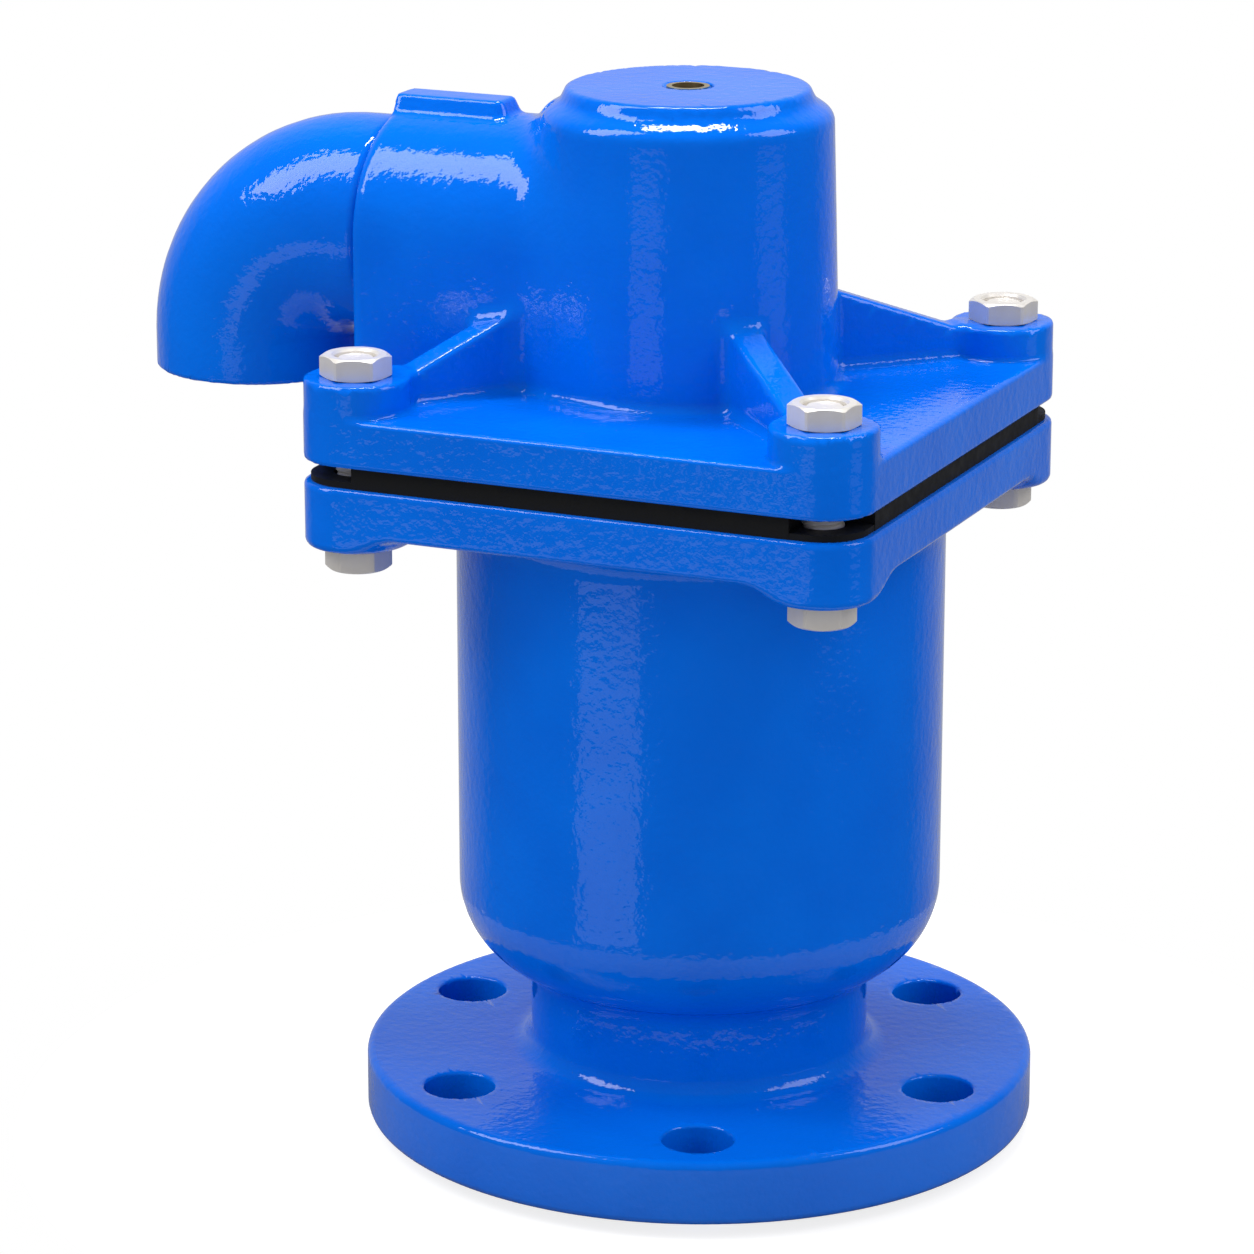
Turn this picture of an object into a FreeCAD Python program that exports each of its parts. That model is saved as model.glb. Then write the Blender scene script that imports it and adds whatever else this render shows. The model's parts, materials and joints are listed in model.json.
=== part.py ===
import FreeCAD, Part
import math
import os
import re
import Sketcher
from FreeCAD import Vector

# Air release valve on a DN50 flange: cast body and cover, side outlet with a turned-down elbow,
# and a sliding closing disc that carries a float on a short lost-motion link.
# Millimetres, +Z up. The origin is the centre of the raised face that meets the pipe.
# The outlet points to -X. The cover and what it carries share an axis a little to -X of the inlet.

os.makedirs("parts", exist_ok=True)
doc = FreeCAD.newDocument("air_release_valve")

# Driving sizes

sizes = {
    # base flange, neck and bowl
    "flange_dia": 165, "flange_thick": 16, "face_dia": 99, "face_rise": 3,
    "flange_hole_margin": 15.5, "flange_hole_dia": 17, "flange_hole_count": 6,
    "flange_hole_turn": -67,
    "flange_edge_round": 2,
    "inlet_dia": 50, "neck_dia": 83.3, "neck_fillet": 5,
    "bowl_dia": 118.4, "bowl_round": 23, "bowl_round_top": 63, "wall": 7,
    # joint between body and cover
    "body_height": 170.5, "joint_plate_thick": 11.5, "cover_shift": 3.8,
    "joint_bolt_spacing": 118, "lug_radius": 12.5, "lug_drop": 4, "lug_rise": 8,
    "under_plate_fillet": 8, "lug_flare": 4, "flare_sink": 0.5, "lug_inset": 0.25, "lug_edge_round": 1.2,
    "gasket_thick": 5, "gasket_inset": 1.5, "ear_thick": 1.5, "ear_inset": 1.6,
    "ear_relief": 0.8,
    # cover casting
    "hood_above_boss": 10.2, "hood_top_radius": 34.8, "hood_draft": 1.6, "shoulder_round": 4,
    "crown_inset": 5.6, "crown_rise": 4.3, "crown_slope": 1.5, "crown_edge_round": 0.8,
    "hood_wall": 5.3, "hood_roof": 10.3, "hood_bore_round": 6,
    "outlet_rise": 43.9, "outlet_boss_wall": 4.2, "outlet_boss_reach": 76.2,
    "outlet_bore_radius": 19.5, "socket_radius": 24.5, "socket_depth": 17,
    "boss_edge_round": 3, "boss_blend": 7, "boss_overlap": 3, "cast_fillet": 2.5,
    "nameplate_length": 27, "nameplate_width": 11, "nameplate_rise": 3, "nameplate_setback": 13.5,
    "nameplate_round": 1.2,
    "rib_thick": 8.4, "rib_rise": 20.5, "rib_below_lug": 0.5,
    "outlet_rib_angle": 54, "outlet_rib_rise": 18, "outlet_rib_root": 6,
    # elbow, its seal and its screen
    "elbow_lip": 1.3, "elbow_bend": 30.4, "elbow_run": 9.2, "elbow_drop": 8.7,
    "spigot_length": 16, "spigot_groove_width": 3,
    "spigot_groove_depth": 2, "spigot_groove_setback": 8, "spigot_seal_section": 1,
    "screen_recess_depth": 9, "screen_wall": 3.8, "screen_thick": 1,
    "screen_hole_dia": 5, "screen_pitch": 7.5, "circlip_width": 1.5, "circlip_bite": 1.2,
    "circlip_depth": 3, "circlip_gap": 6,
    # joint bolts and nuts
    "bolt_dia": 10, "bolt_hole_play": 1, "bolt_head_flats": 14, "bolt_head_height": 6.4,
    "nut_flats": 15, "nut_height": 5.3, "bolt_end_below_nut": 0.8, "hex_turn": 23,
    # seat under the cover
    "seat_recess_depth": 6, "seat_landing": 12.5, "seat_drop": 3, "seat_bore_radius": 20,
    "lip_rise": 1, "lip_inset": 0.5, "lip_width": 3, "seat_throat_round": 3,
    "seat_seal_margin": 3.5, "seat_seal_section": 1.2,
    "screw_radius": 2, "screw_depth": 15.5, "screw_tap_spare": 1, "screw_head_radius": 3.5,
    "screw_head_height": 2.8, "seat_screw_count": 4,
    # float cage
    "cage_sheet": 2, "cage_disc_gap": 2.5, "cage_side_gap": 3.4, "cage_bar_width": 12,
    "cage_bar_count": 4, "cage_floor_gap": 14, "finger_width": 8, "finger_catch": 5,
    "finger_thick": 1.5, "cage_vent_radius": 9, "cage_vent_rim": 5, "cage_bar_inset": 0.9,
    "guide_above": 13, "guide_below": 5, "guide_radius": 8, "guide_flange_radius": 11,
    "guide_flange_thick": 1.5,
    # closing disc
    "disc_stroke": 16, "seal_thick": 3, "seal_inner_radius": 12, "seal_margin": 2.5,
    "disc_margin": 1, "disc_thick": 4, "hub_radius": 9, "hub_length": 6,
    "clamp_gap": 2, "clamp_thick": 2, "stem_radius": 3.8, "stem_bore_radius": 1.5,
    "stem_below_crown": 1.3, "stem_thread_depth": 5, "stem_nut_flats": 13, "stem_nut_height": 4,
    "nozzle_radius": 4, "nozzle_flange_radius": 5.5, "nozzle_flange_thick": 1.6,
    "nozzle_tip_radius": 2, "nozzle_tip_length": 1.4, "nozzle_bore_radius": 0.9,
    "nozzle_length": 4,
    "sleeve_wall": 2.4, "sleeve_length": 24.5, "sleeve_lip": 2.5, "sleeve_window_width": 8,
    "sleeve_window_height": 8, "sleeve_window_drop": 7.5,
    # guide bush in the hood roof
    "bush_wall": 1.275, "bush_length": 32, "bush_hex_flats": 14, "bush_hex_height": 5,
    "bush_recess_margin": 0.85, "bush_recess_depth": 0.8,
    # float
    "float_stroke": 4, "float_side_gap": 3.1, "float_lift": 19.95, "float_wall": 2.5,
    "float_round": 10, "float_tube_wall": 2, "float_drop": 7.5,
    "spindle_radius": 4, "neck_radius": 5.2, "head_play": 0.4, "head_height": 6.5,
    "spindle_tail": 31.5, "pad_radius": 6, "pad_thick": 5,
    "float_nut_flats": 13, "float_nut_height": 4,
    # clearances
    "running_gap": 0.075, "thread_gap": 0.05, "closing_gap": 0.05, "loose_gap": 0.3,
    # how far a cut starts outside the metal
    "overcut": 1,
}

# Radii and levels worked out from the sizes. Those of the body count from the raised face,
# and from lug_top on they count from the cover's underside.

levels = {
    "flange_top": "face_rise + flange_thick",
    "bolt_circle": "flange_dia - 2 * flange_hole_margin",
    "cover_base": "body_height + gasket_thick",
    "half_plate": "joint_bolt_spacing / 2 + lug_radius",
    "half_spacing": "joint_bolt_spacing / 2",
    "post_radius": "lug_radius - lug_inset",
    "body_plate_base": "body_height - joint_plate_thick",
    "lug_base": "body_plate_base - lug_drop",
    "cavity_radius": "bowl_dia / 2 - wall",
    "cavity_round": "bowl_round - wall",
    "bowl_floor": "bowl_round_top - cavity_round",
    "bolt_hole_dia": "bolt_dia + bolt_hole_play",
    "ear_radius": "lug_radius - ear_inset",
    "lug_top": "joint_plate_thick + lug_rise",
    "outlet_boss_radius": "socket_radius + outlet_boss_wall",
    "hood_rise": "boss_top + hood_above_boss",
    "shoulder": "hood_rise - crown_rise",
    "crown_radius": "hood_top_radius - crown_inset",
    "hood_bore_radius": "hood_top_radius - hood_wall",
    "hood_foot_radius": "hood_top_radius + (shoulder - shoulder_round) * tan(hood_draft * 1 deg)",
    "boss_top": "outlet_rise + outlet_boss_radius",
    "boss_foot": "joint_plate_thick - boss_overlap",
    "corner_reach": "half_spacing * sqrt(2)",
    "outlet_rib_run": "(half_spacing - outlet_boss_radius) / sin(outlet_rib_angle * 1 deg)"
                      " + outlet_rib_root",
    "bore_roof": "hood_rise - hood_roof",
    "elbow_seam": "-outlet_boss_reach",
    "elbow_radius": "socket_radius + elbow_lip",
    "spigot_radius": "socket_radius - thread_gap",
    "spigot_seal_place": "elbow_seam + spigot_groove_setback + spigot_groove_width / 2",
    "elbow_bend_start": "elbow_seam - elbow_run",
    "elbow_axis": "elbow_bend_start - elbow_bend",
    "spigot_end": "elbow_seam + spigot_length",
    "elbow_mouth": "outlet_rise - elbow_bend - elbow_drop",
    "screen_top": "elbow_mouth + screen_recess_depth",
    "screen_recess_radius": "elbow_radius - screen_wall",
    "circlip_base": "screen_top - screen_thick - circlip_width",
    "circlip_radius": "screen_recess_radius + circlip_bite",
    "nut_top": "lug_top + nut_height",
    "bolt_head_top": "-gasket_thick - joint_plate_thick - lug_drop",
    "seat_base": "-seat_drop",
    "seat_lip": "seat_base - lip_rise",
    "seat_outer_radius": "hood_bore_radius + seat_landing",
    "seat_seal_radius": "seat_outer_radius - seat_seal_margin",
    "lip_inner_radius": "seat_bore_radius + lip_inset",
    "lip_outer_radius": "lip_inner_radius + lip_width",
    "cage_ring_base": "seat_base - cage_sheet",
    "cage_floor": "bowl_floor + cage_floor_gap - cover_base",
    "cage_radius": "cavity_radius - cover_shift - cage_side_gap",
    "cage_inner_radius": "disc_radius + cage_disc_gap",
    "cage_vent_circle": "cage_radius - cage_vent_radius - cage_vent_rim",
    "screw_circle_radius": "cage_inner_radius + screw_head_radius",
    "finger_radius": "disc_radius - finger_catch",
    "seal_outer_radius": "lip_outer_radius + seal_margin",
    "disc_radius": "seal_outer_radius + disc_margin",
    "clamp_radius": "seat_bore_radius - clamp_gap",
    "seal_top": "seat_lip - closing_gap - disc_stroke",
    "disc_top": "seal_top - seal_thick",
    "disc_base": "disc_top - disc_thick",
    "hub_base": "disc_base - hub_length",
    "nozzle_tip": "hub_base - nozzle_flange_thick - nozzle_tip_length",
    "stem_base": "disc_top - stem_thread_depth",
    "stem_top": "hood_rise - stem_below_crown - disc_stroke",
    "clamp_top": "seal_top + clamp_thick",
    "bush_radius": "stem_radius + running_gap + bush_wall",
    "bush_recess_radius": "bush_radius + bush_recess_margin",
    "sleeve_base": "disc_base - sleeve_length",
    "sleeve_lip_top": "sleeve_base + sleeve_lip",
    "sleeve_radius": "hub_radius + sleeve_wall",
    "pad_top": "nozzle_tip - closing_gap - float_stroke",
    "pad_base": "pad_top - pad_thick",
    "head_top": "sleeve_lip_top + head_height",
    "head_radius": "hub_radius - head_play",
    "float_top": "sleeve_lip_top - float_drop",
    "float_base": "cage_floor + float_lift",
    "float_radius": "cage_radius - cage_bar_inset - cage_sheet - float_side_gap",
    "spindle_base": "float_base - spindle_tail",
}

sheet = doc.addObject("Spreadsheet::Sheet", "Sizes")
for row, (alias, number) in enumerate(sizes.items(), start=1):
    sheet.set(f"A{row}", alias)
    sheet.set(f"B{row}", str(number))
    sheet.setAlias(f"B{row}", alias)
doc.recompute()


def full(formula):
    # Turns the plain words of a formula into references to the sheet's cells.
    def swap(match):
        word = match.group(0)
        if word in levels:
            return f"({full(levels[word])})"
        return f"Sizes.{word}" if word in sizes else word
    return re.sub(r"[a-z_]+", swap, str(formula))


def value(formula):
    found = sheet.evalExpression(full(formula))
    return float(getattr(found, "Value", found))


def bind(thing, field, formula):
    thing.setExpression(field, full(formula))


# Sketches and features

def new_body(label, x="0", z="0"):
    piece = doc.addObject("PartDesign::Body", label)
    piece.Label = label
    bind(piece, "Placement.Base.x", x)
    bind(piece, "Placement.Base.z", z)
    return piece


def cover_body(label):
    return new_body(label, "-cover_shift", "cover_base")


def new_sketch(piece, role, lift="0"):
    sketch = piece.newObject("Sketcher::SketchObject", piece.Name + "_sketch")
    plane = next(item for item in piece.Origin.OriginFeatures if item.Role == role)
    sketch.AttachmentSupport = [(plane, "")]
    sketch.MapMode = "FlatFace"
    bind(sketch, "AttachmentOffset.Base.z", lift)
    return sketch


def fix(sketch, kind, geometry, place, formula):
    spot = (geometry, place) if place else (geometry,)
    number = sketch.addConstraint(Sketcher.Constraint(kind, *spot, value(formula)))
    bind(sketch, f"Constraints[{number}]", formula)


def circle(sketch, x, y, radius):
    centre = Vector(value(x), value(y), 0)
    number = sketch.addGeometry(Part.Circle(centre, Vector(0, 0, 1), value(radius)), False)
    fix(sketch, "DistanceX", number, 3, x)
    fix(sketch, "DistanceY", number, 3, y)
    fix(sketch, "Radius", number, 0, radius)


def arc_between(start, end, radius):
    # A positive radius turns left on the way from start to end, a negative one turns right.
    chord = end - start
    reach = math.sqrt(max(radius * radius - chord.Length ** 2 / 4, 0))
    side = Vector(-chord.y, chord.x, 0).normalize() * math.copysign(reach, radius)
    centre = (start + end) * 0.5 + side
    first, last = (start, end) if radius > 0 else (end, start)
    angles = [math.atan2(spot.y - centre.y, spot.x - centre.x) for spot in (first, last)]
    if angles[1] < angles[0]:
        angles[1] += 2 * math.pi
    ring = Part.Circle(centre, Vector(0, 0, 1), abs(radius))
    return Part.ArcOfCircle(ring, *angles)


def outline(sketch, corners, closed=True):
    # Each corner is (x, y) for a straight run to it, or (x, y, radius) for an arc to it.
    spots = [Vector(value(corner[0]), value(corner[1]), 0) for corner in corners]
    runs = []
    for index, corner in enumerate(corners):
        if not closed and index == 0:
            continue
        start, end = spots[index - 1], spots[index]
        ends = (1, 2)
        if len(corner) == 3:
            radius = value(corner[2])
            number = sketch.addGeometry(arc_between(start, end, radius), False)
            fix(sketch, "Radius", number, 0, corner[2].lstrip("-") if radius < 0 else corner[2])
            ends = (1, 2) if radius > 0 else (2, 1)
        else:
            number = sketch.addGeometry(Part.LineSegment(start, end), False)
        runs.append((number, *ends))
        fix(sketch, "DistanceX", number, ends[1], corner[0])
        fix(sketch, "DistanceY", number, ends[1], corner[1])
    for index, (number, first, _) in enumerate(runs):
        if index or closed:
            before, _, last = runs[index - 1]
            sketch.addConstraint(Sketcher.Constraint("Coincident", before, last, number, first))
    if not closed:
        number, first, _ = runs[0]
        fix(sketch, "DistanceX", number, first, corners[0][0])
        fix(sketch, "DistanceY", number, first, corners[0][1])


def rounded_square(sketch, half, corner):
    rounded_rectangle(sketch, f"-({half})", half, half, corner)


def rounded_rectangle(sketch, left, right, half_width, corner):
    inner_left, inner_right = f"{left} + {corner}", f"{right} - ({corner})"
    inner = f"{half_width} - ({corner})"
    outline(sketch, [
        (inner_left, f"-({half_width})", corner), (inner_right, f"-({half_width})"),
        (right, f"-({inner})", corner), (right, inner),
        (inner_right, half_width, corner), (inner_left, half_width),
        (left, inner, corner), (left, f"-({inner})"),
    ])


def hexagon(sketch, flats, x="0", y="0", turned="0"):
    # At no turn, two sides are parallel to the sketch's X axis.
    corner = f"{flats} / sqrt(3)"
    spots = []
    for number in range(6):
        angle = f"({turned} + {60 * number}) * 1 deg"
        spots.append((f"{x} + {corner} * cos({angle})", f"{y} + {corner} * sin({angle})"))
    outline(sketch, spots)


def add(piece, kind, sketch=None):
    feature = piece.newObject(f"PartDesign::{kind}", f"{piece.Name}_{kind}")
    if sketch:
        feature.Profile = sketch
        sketch.Visibility = False
    piece.Tip = feature
    return feature


def pad(piece, sketch, length, midplane=False, reverse=False):
    feature = add(piece, "Pad", sketch)
    bind(feature, "Length", length)
    feature.Midplane = midplane
    feature.Reversed = reverse
    return feature


def pocket(piece, sketch, length, upward=False):
    # Cuts down from the sketch unless it is told to cut upward.
    feature = add(piece, "Pocket", sketch)
    bind(feature, "Length", length)
    feature.Reversed = upward
    return feature


def turn(piece, kind, corners, role="XZ_Plane"):
    # Revolves an outline of (radius, height) corners about the piece's own Z axis.
    sketch = new_sketch(piece, role)
    outline(sketch, corners)
    feature = add(piece, kind, sketch)
    feature.ReferenceAxis = (sketch, ["V_Axis"])
    feature.Angle = 360
    return feature


def rings(piece, features, count):
    pattern = add(piece, "PolarPattern")
    pattern.Originals = features
    axis = next(item for item in piece.Origin.OriginFeatures if item.Role == "Z_Axis")
    pattern.Axis = (axis, [""])
    pattern.Angle = 360
    bind(pattern, "Occurrences", count)
    return pattern


def mirrored(piece, features):
    # Repeats features on the other side of the XZ plane.
    pattern = add(piece, "Mirrored")
    pattern.Originals = features
    plane = next(item for item in piece.Origin.OriginFeatures if item.Role == "XZ_Plane")
    pattern.MirrorPlane = (plane, [""])
    return pattern


def dress(piece, kind, size, pick):
    # Fillets or chamfers the edges that pick accepts on the shape built so far.
    doc.recompute()
    base = piece.Tip
    names = [f"Edge{index}" for index, edge in enumerate(base.Shape.Edges, start=1) if pick(edge)]
    if not names:
        raise RuntimeError(f"no edge found to dress on {piece.Label}")
    feature = add(piece, kind)
    feature.Base = (base, names)
    feature.Refine = False
    bind(feature, "Radius" if kind == "Fillet" else "Size", size)
    return feature


def middle(edge):
    return edge.valueAt((edge.FirstParameter + edge.LastParameter) / 2)


def near(first, second, slack=0.01):
    return abs(first - second) < slack


def level_at(edge, height):
    box = edge.BoundBox
    return near(box.ZMin, height) and near(box.ZMax, height)


def kind_of(edge):
    return "" if edge.Degenerated else type(edge.Curve).__name__


def is_round(edge, radius):
    return kind_of(edge) == "Circle" and near(edge.Curve.Radius, radius)


# Castings

def valve_body():
    piece = new_body("valve_body")
    neck = "neck_dia / 2"
    bowl = "bowl_dia / 2"
    # Height at which the bowl's round underside meets the neck.
    drop = f"pow(bowl_round; 2) - pow({neck} - {bowl} + bowl_round; 2)"
    neck_meet = f"bowl_round_top - sqrt({drop})"
    turn(piece, "Revolution", [
        ("0", "0"), ("face_dia / 2", "0"), ("face_dia / 2", "face_rise"),
        ("flange_dia / 2 - flange_edge_round / 2", "face_rise"),
        ("flange_dia / 2", "face_rise + flange_edge_round / 2", "flange_edge_round / 2"),
        ("flange_dia / 2", "flange_top - flange_edge_round"),
        ("flange_dia / 2 - flange_edge_round", "flange_top", "flange_edge_round"),
        (f"{neck} + neck_fillet", "flange_top"),
        (neck, "flange_top + neck_fillet", "-neck_fillet"),
        (neck, neck_meet),
        (bowl, "bowl_round_top", "bowl_round"),
        (bowl, "body_height"), ("0", "body_height"),
    ])
    plate = new_sketch(piece, "XY_Plane", "body_plate_base")
    bind(plate, "AttachmentOffset.Base.x", "-cover_shift")
    rounded_square(plate, "half_plate", "lug_radius")
    pad(piece, plate, "joint_plate_thick")
    for x in ("-cover_shift - half_spacing", "-cover_shift + half_spacing"):
        for y in ("-half_spacing", "half_spacing"):
            post(piece, x, y, [
                ("0", "body_height"), ("0", "lug_base"),
                ("post_radius - lug_edge_round", "lug_base"),
                ("post_radius", "lug_base + lug_edge_round", "lug_edge_round"),
                ("post_radius", "body_plate_base + flare_sink - lug_flare"),
                ("post_radius + lug_flare", "body_plate_base + flare_sink", "-lug_flare"),
                ("post_radius + lug_flare", "body_height"),
            ])
    trim(piece, "lug_base - overcut", "body_plate_base", "-cover_shift")
    plate_base = value("body_plate_base")
    dress(piece, "Fillet", "under_plate_fillet",
          lambda edge: level_at(edge, plate_base) and is_round(edge, value(bowl)))
    turn(piece, "Groove", [
        ("0", "-overcut"), ("inlet_dia / 2", "-overcut"), ("inlet_dia / 2", "bowl_floor"),
        (f"{bowl} - bowl_round", "bowl_floor"),
        ("cavity_radius", "bowl_floor + cavity_round", "cavity_round"),
        ("cavity_radius", "body_height + overcut"), ("0", "body_height + overcut"),
    ])
    holes = new_sketch(piece, "XY_Plane", "body_height")
    bind(holes, "AttachmentOffset.Base.x", "-cover_shift")
    four_circles(holes, "bolt_hole_dia / 2")
    pocket(piece, holes, "joint_plate_thick + lug_drop + overcut")
    hole = new_sketch(piece, "XY_Plane", "flange_top + overcut")
    circle(hole, "bolt_circle / 2 * cos(flange_hole_turn * 1 deg)",
           "bolt_circle / 2 * sin(flange_hole_turn * 1 deg)", "flange_hole_dia / 2")
    rings(piece, [pocket(piece, hole, "flange_thick + 2 * overcut")], "flange_hole_count")
    return piece


def post(piece, x, y, corners):
    # Revolves an outline of (radius, height) corners about an upright axis through x, y.
    sketch = new_sketch(piece, "XZ_Plane", f"-({y})")
    outline(sketch, [(f"{x} + {radius}", *rest) for radius, *rest in corners])
    middle = value(x)
    line = sketch.addGeometry(Part.LineSegment(Vector(middle, 0, 0), Vector(middle, 10, 0)), True)
    fix(sketch, "DistanceX", line, 1, x)
    fix(sketch, "DistanceY", line, 1, "0")
    fix(sketch, "DistanceX", line, 2, x)
    fix(sketch, "DistanceY", line, 2, "lug_radius")
    feature = add(piece, "Revolution", sketch)
    feature.ReferenceAxis = (sketch, ["Axis0"])
    feature.Angle = 360
    return feature


def trim(piece, low, high, x="0"):
    # Cuts away what a lug's flare carries past the square outline of the joint.
    sketch = new_sketch(piece, "XY_Plane", high)
    bind(sketch, "AttachmentOffset.Base.x", x)
    rounded_square(sketch, "half_plate - lug_inset / 2", "lug_radius - lug_inset / 2")
    rounded_square(sketch, "half_plate + 2 * lug_radius", "lug_radius")
    pocket(piece, sketch, f"{high} - ({low})")


def four_circles(sketch, radius):
    for side in ("-half_spacing", "half_spacing"):
        for end in ("-half_spacing", "half_spacing"):
            circle(sketch, side, end, radius)


def ring_of_circles(sketch, count, reach, radius, first=0):
    for number in range(int(value(count))):
        angle = f"{first} deg + {number} * 360 deg / {count}"
        circle(sketch, f"{reach} * cos({angle})", f"{reach} * sin({angle})", radius)


def rectangle(sketch, left, right, half_width):
    outline(sketch, [
        (left, f"-({half_width})"), (right, f"-({half_width})"),
        (right, half_width), (left, half_width),
    ])


def cover():
    piece = cover_body("cover")
    turn(piece, "Revolution", [
        ("0", "0"), ("hood_foot_radius", "0"),
        ("hood_top_radius", "shoulder - shoulder_round"),
        ("hood_top_radius - shoulder_round", "shoulder", "shoulder_round"),
        ("crown_radius + crown_slope", "shoulder"),
        ("crown_radius", "hood_rise - crown_edge_round"),
        ("crown_radius - crown_edge_round", "hood_rise", "crown_edge_round"),
        ("0", "hood_rise"),
    ])
    plate = new_sketch(piece, "XY_Plane")
    rounded_square(plate, "half_plate", "lug_radius")
    pad(piece, plate, "joint_plate_thick")
    for x in ("-half_spacing", "half_spacing"):
        for y in ("-half_spacing", "half_spacing"):
            post(piece, x, y, [
                ("0", "joint_plate_thick / 2"), ("post_radius", "joint_plate_thick / 2"),
                ("post_radius", "lug_top - lug_edge_round"),
                ("post_radius - lug_edge_round", "lug_top", "lug_edge_round"),
                ("0", "lug_top"),
            ])
    boss = new_sketch(piece, "YZ_Plane", "-outlet_boss_reach")
    outline(boss, [
        ("-outlet_boss_radius", "boss_foot"), ("outlet_boss_radius", "boss_foot"),
        ("outlet_boss_radius", "outlet_rise"),
        ("0", "boss_top", "outlet_boss_radius"),
        ("-outlet_boss_radius", "outlet_rise", "outlet_boss_radius"),
    ])
    pad(piece, boss, "outlet_boss_reach")
    blend_outlet_boss(piece)
    nameplate(piece)
    rib = new_sketch(piece, "XZ_Plane")
    outline(rib, [
        ("0", "joint_plate_thick / 2"), ("corner_reach", "joint_plate_thick / 2"),
        ("corner_reach", "lug_top - rib_below_lug"),
        ("corner_reach - lug_radius", "lug_top - rib_below_lug"),
        ("hood_top_radius", "joint_plate_thick + rib_rise"),
        ("0", "joint_plate_thick + rib_rise"),
    ])
    rib.AttachmentOffset = FreeCAD.Placement(Vector(), FreeCAD.Rotation(Vector(0, 1, 0), 45))
    hood_rib = pad(piece, rib, "rib_thick", midplane=True)
    mirrored(piece, [hood_rib, outlet_rib(piece)])
    turn(piece, "Groove", [
        ("0", "-overcut"), ("seat_outer_radius + running_gap", "-overcut"),
        ("seat_outer_radius + running_gap", "seat_recess_depth"),
        ("hood_bore_radius", "seat_recess_depth"),
        ("hood_bore_radius", "bore_roof - hood_bore_round"),
        ("hood_bore_radius - hood_bore_round", "bore_roof", "hood_bore_round"),
        ("bush_radius + thread_gap", "bore_roof"),
        ("bush_radius + thread_gap", "hood_rise - bush_recess_depth"),
        ("bush_recess_radius", "hood_rise - bush_recess_depth"),
        ("bush_recess_radius", "hood_rise + overcut"), ("0", "hood_rise + overcut"),
    ])
    bore = new_sketch(piece, "YZ_Plane", "-outlet_boss_reach")
    circle(bore, "0", "outlet_rise", "outlet_bore_radius")
    pocket(piece, bore, "outlet_boss_reach - hood_bore_radius / 2", upward=True)
    socket = new_sketch(piece, "YZ_Plane", "-outlet_boss_reach")
    circle(socket, "0", "outlet_rise", "socket_radius")
    pocket(piece, socket, "socket_depth", upward=True)
    holes = new_sketch(piece, "XY_Plane", "lug_top + overcut")
    four_circles(holes, "bolt_hole_dia / 2")
    pocket(piece, holes, "lug_top + 2 * overcut")
    screws = new_sketch(piece, "XY_Plane", "seat_recess_depth")
    ring_of_circles(screws, "seat_screw_count", "screw_circle_radius",
                    "screw_radius + thread_gap", 45)
    pocket(piece, screws, "screw_depth - seat_recess_depth + screw_tap_spare", upward=True)
    return piece


def blend_outlet_boss(piece):
    # Rounds the crease between boss and hood, the boss's open end and the foot of both.
    foot = value("joint_plate_thick")
    end = -value("outlet_boss_reach")
    half = value("outlet_boss_radius")

    def on_hood(spot):
        lean = math.tan(math.radians(value("hood_draft")))
        radius = value("hood_top_radius") + lean * (value("shoulder - shoulder_round") - spot.z)
        return near(math.hypot(spot.x, spot.y), radius, 0.05)

    dress(piece, "Fillet", "boss_blend",
          lambda edge: kind_of(edge) and middle(edge).x < 0 and abs(middle(edge).y) < half + 0.1
          and edge.BoundBox.ZMax > foot + 1 and on_hood(middle(edge))
          and not level_at(edge, value("shoulder - shoulder_round")))
    dress(piece, "Fillet", "boss_edge_round",
          lambda edge: near(edge.BoundBox.XMin, end) and near(edge.BoundBox.XMax, end)
          and middle(edge).z > value("boss_foot") + 0.1)
    dress(piece, "Fillet", "cast_fillet",
          lambda edge: level_at(edge, foot) and abs(middle(edge).y) < value("hood_foot_radius")
          and abs(middle(edge).x) < value("half_plate") - 1)


def outlet_rib(piece):
    # The ribs on the outlet side run from their lugs to the boss's side walls.
    rib = new_sketch(piece, "XZ_Plane", "half_spacing")
    outline(rib, [
        ("0", "joint_plate_thick / 2"), ("outlet_rib_run", "joint_plate_thick / 2"),
        ("outlet_rib_run", "joint_plate_thick + outlet_rib_rise"),
        ("outlet_rib_run - outlet_rib_root", "joint_plate_thick + outlet_rib_rise"),
        ("lug_radius", "lug_top - rib_below_lug"), ("0", "lug_top - rib_below_lug"),
    ])
    rib.AttachmentOffset = FreeCAD.Placement(
        rib.AttachmentOffset.Base, FreeCAD.Rotation(Vector(0, 1, 0), value("outlet_rib_angle")))
    bind(rib, "AttachmentOffset.Base.x", "-half_spacing")
    bind(rib, "AttachmentOffset.Rotation.Angle", "outlet_rib_angle")
    return pad(piece, rib, "rib_thick", midplane=True)


def nameplate(piece):
    # The raised pad on top of the outlet boss is left blank.
    sketch = new_sketch(piece, "XY_Plane", "outlet_rise")
    start = "-outlet_boss_reach + nameplate_setback - nameplate_length / 2"
    rounded_rectangle(sketch, start, f"{start} + nameplate_length", "nameplate_width / 2",
                      "nameplate_round")
    pad(piece, sketch, "outlet_boss_radius + nameplate_rise")


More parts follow.
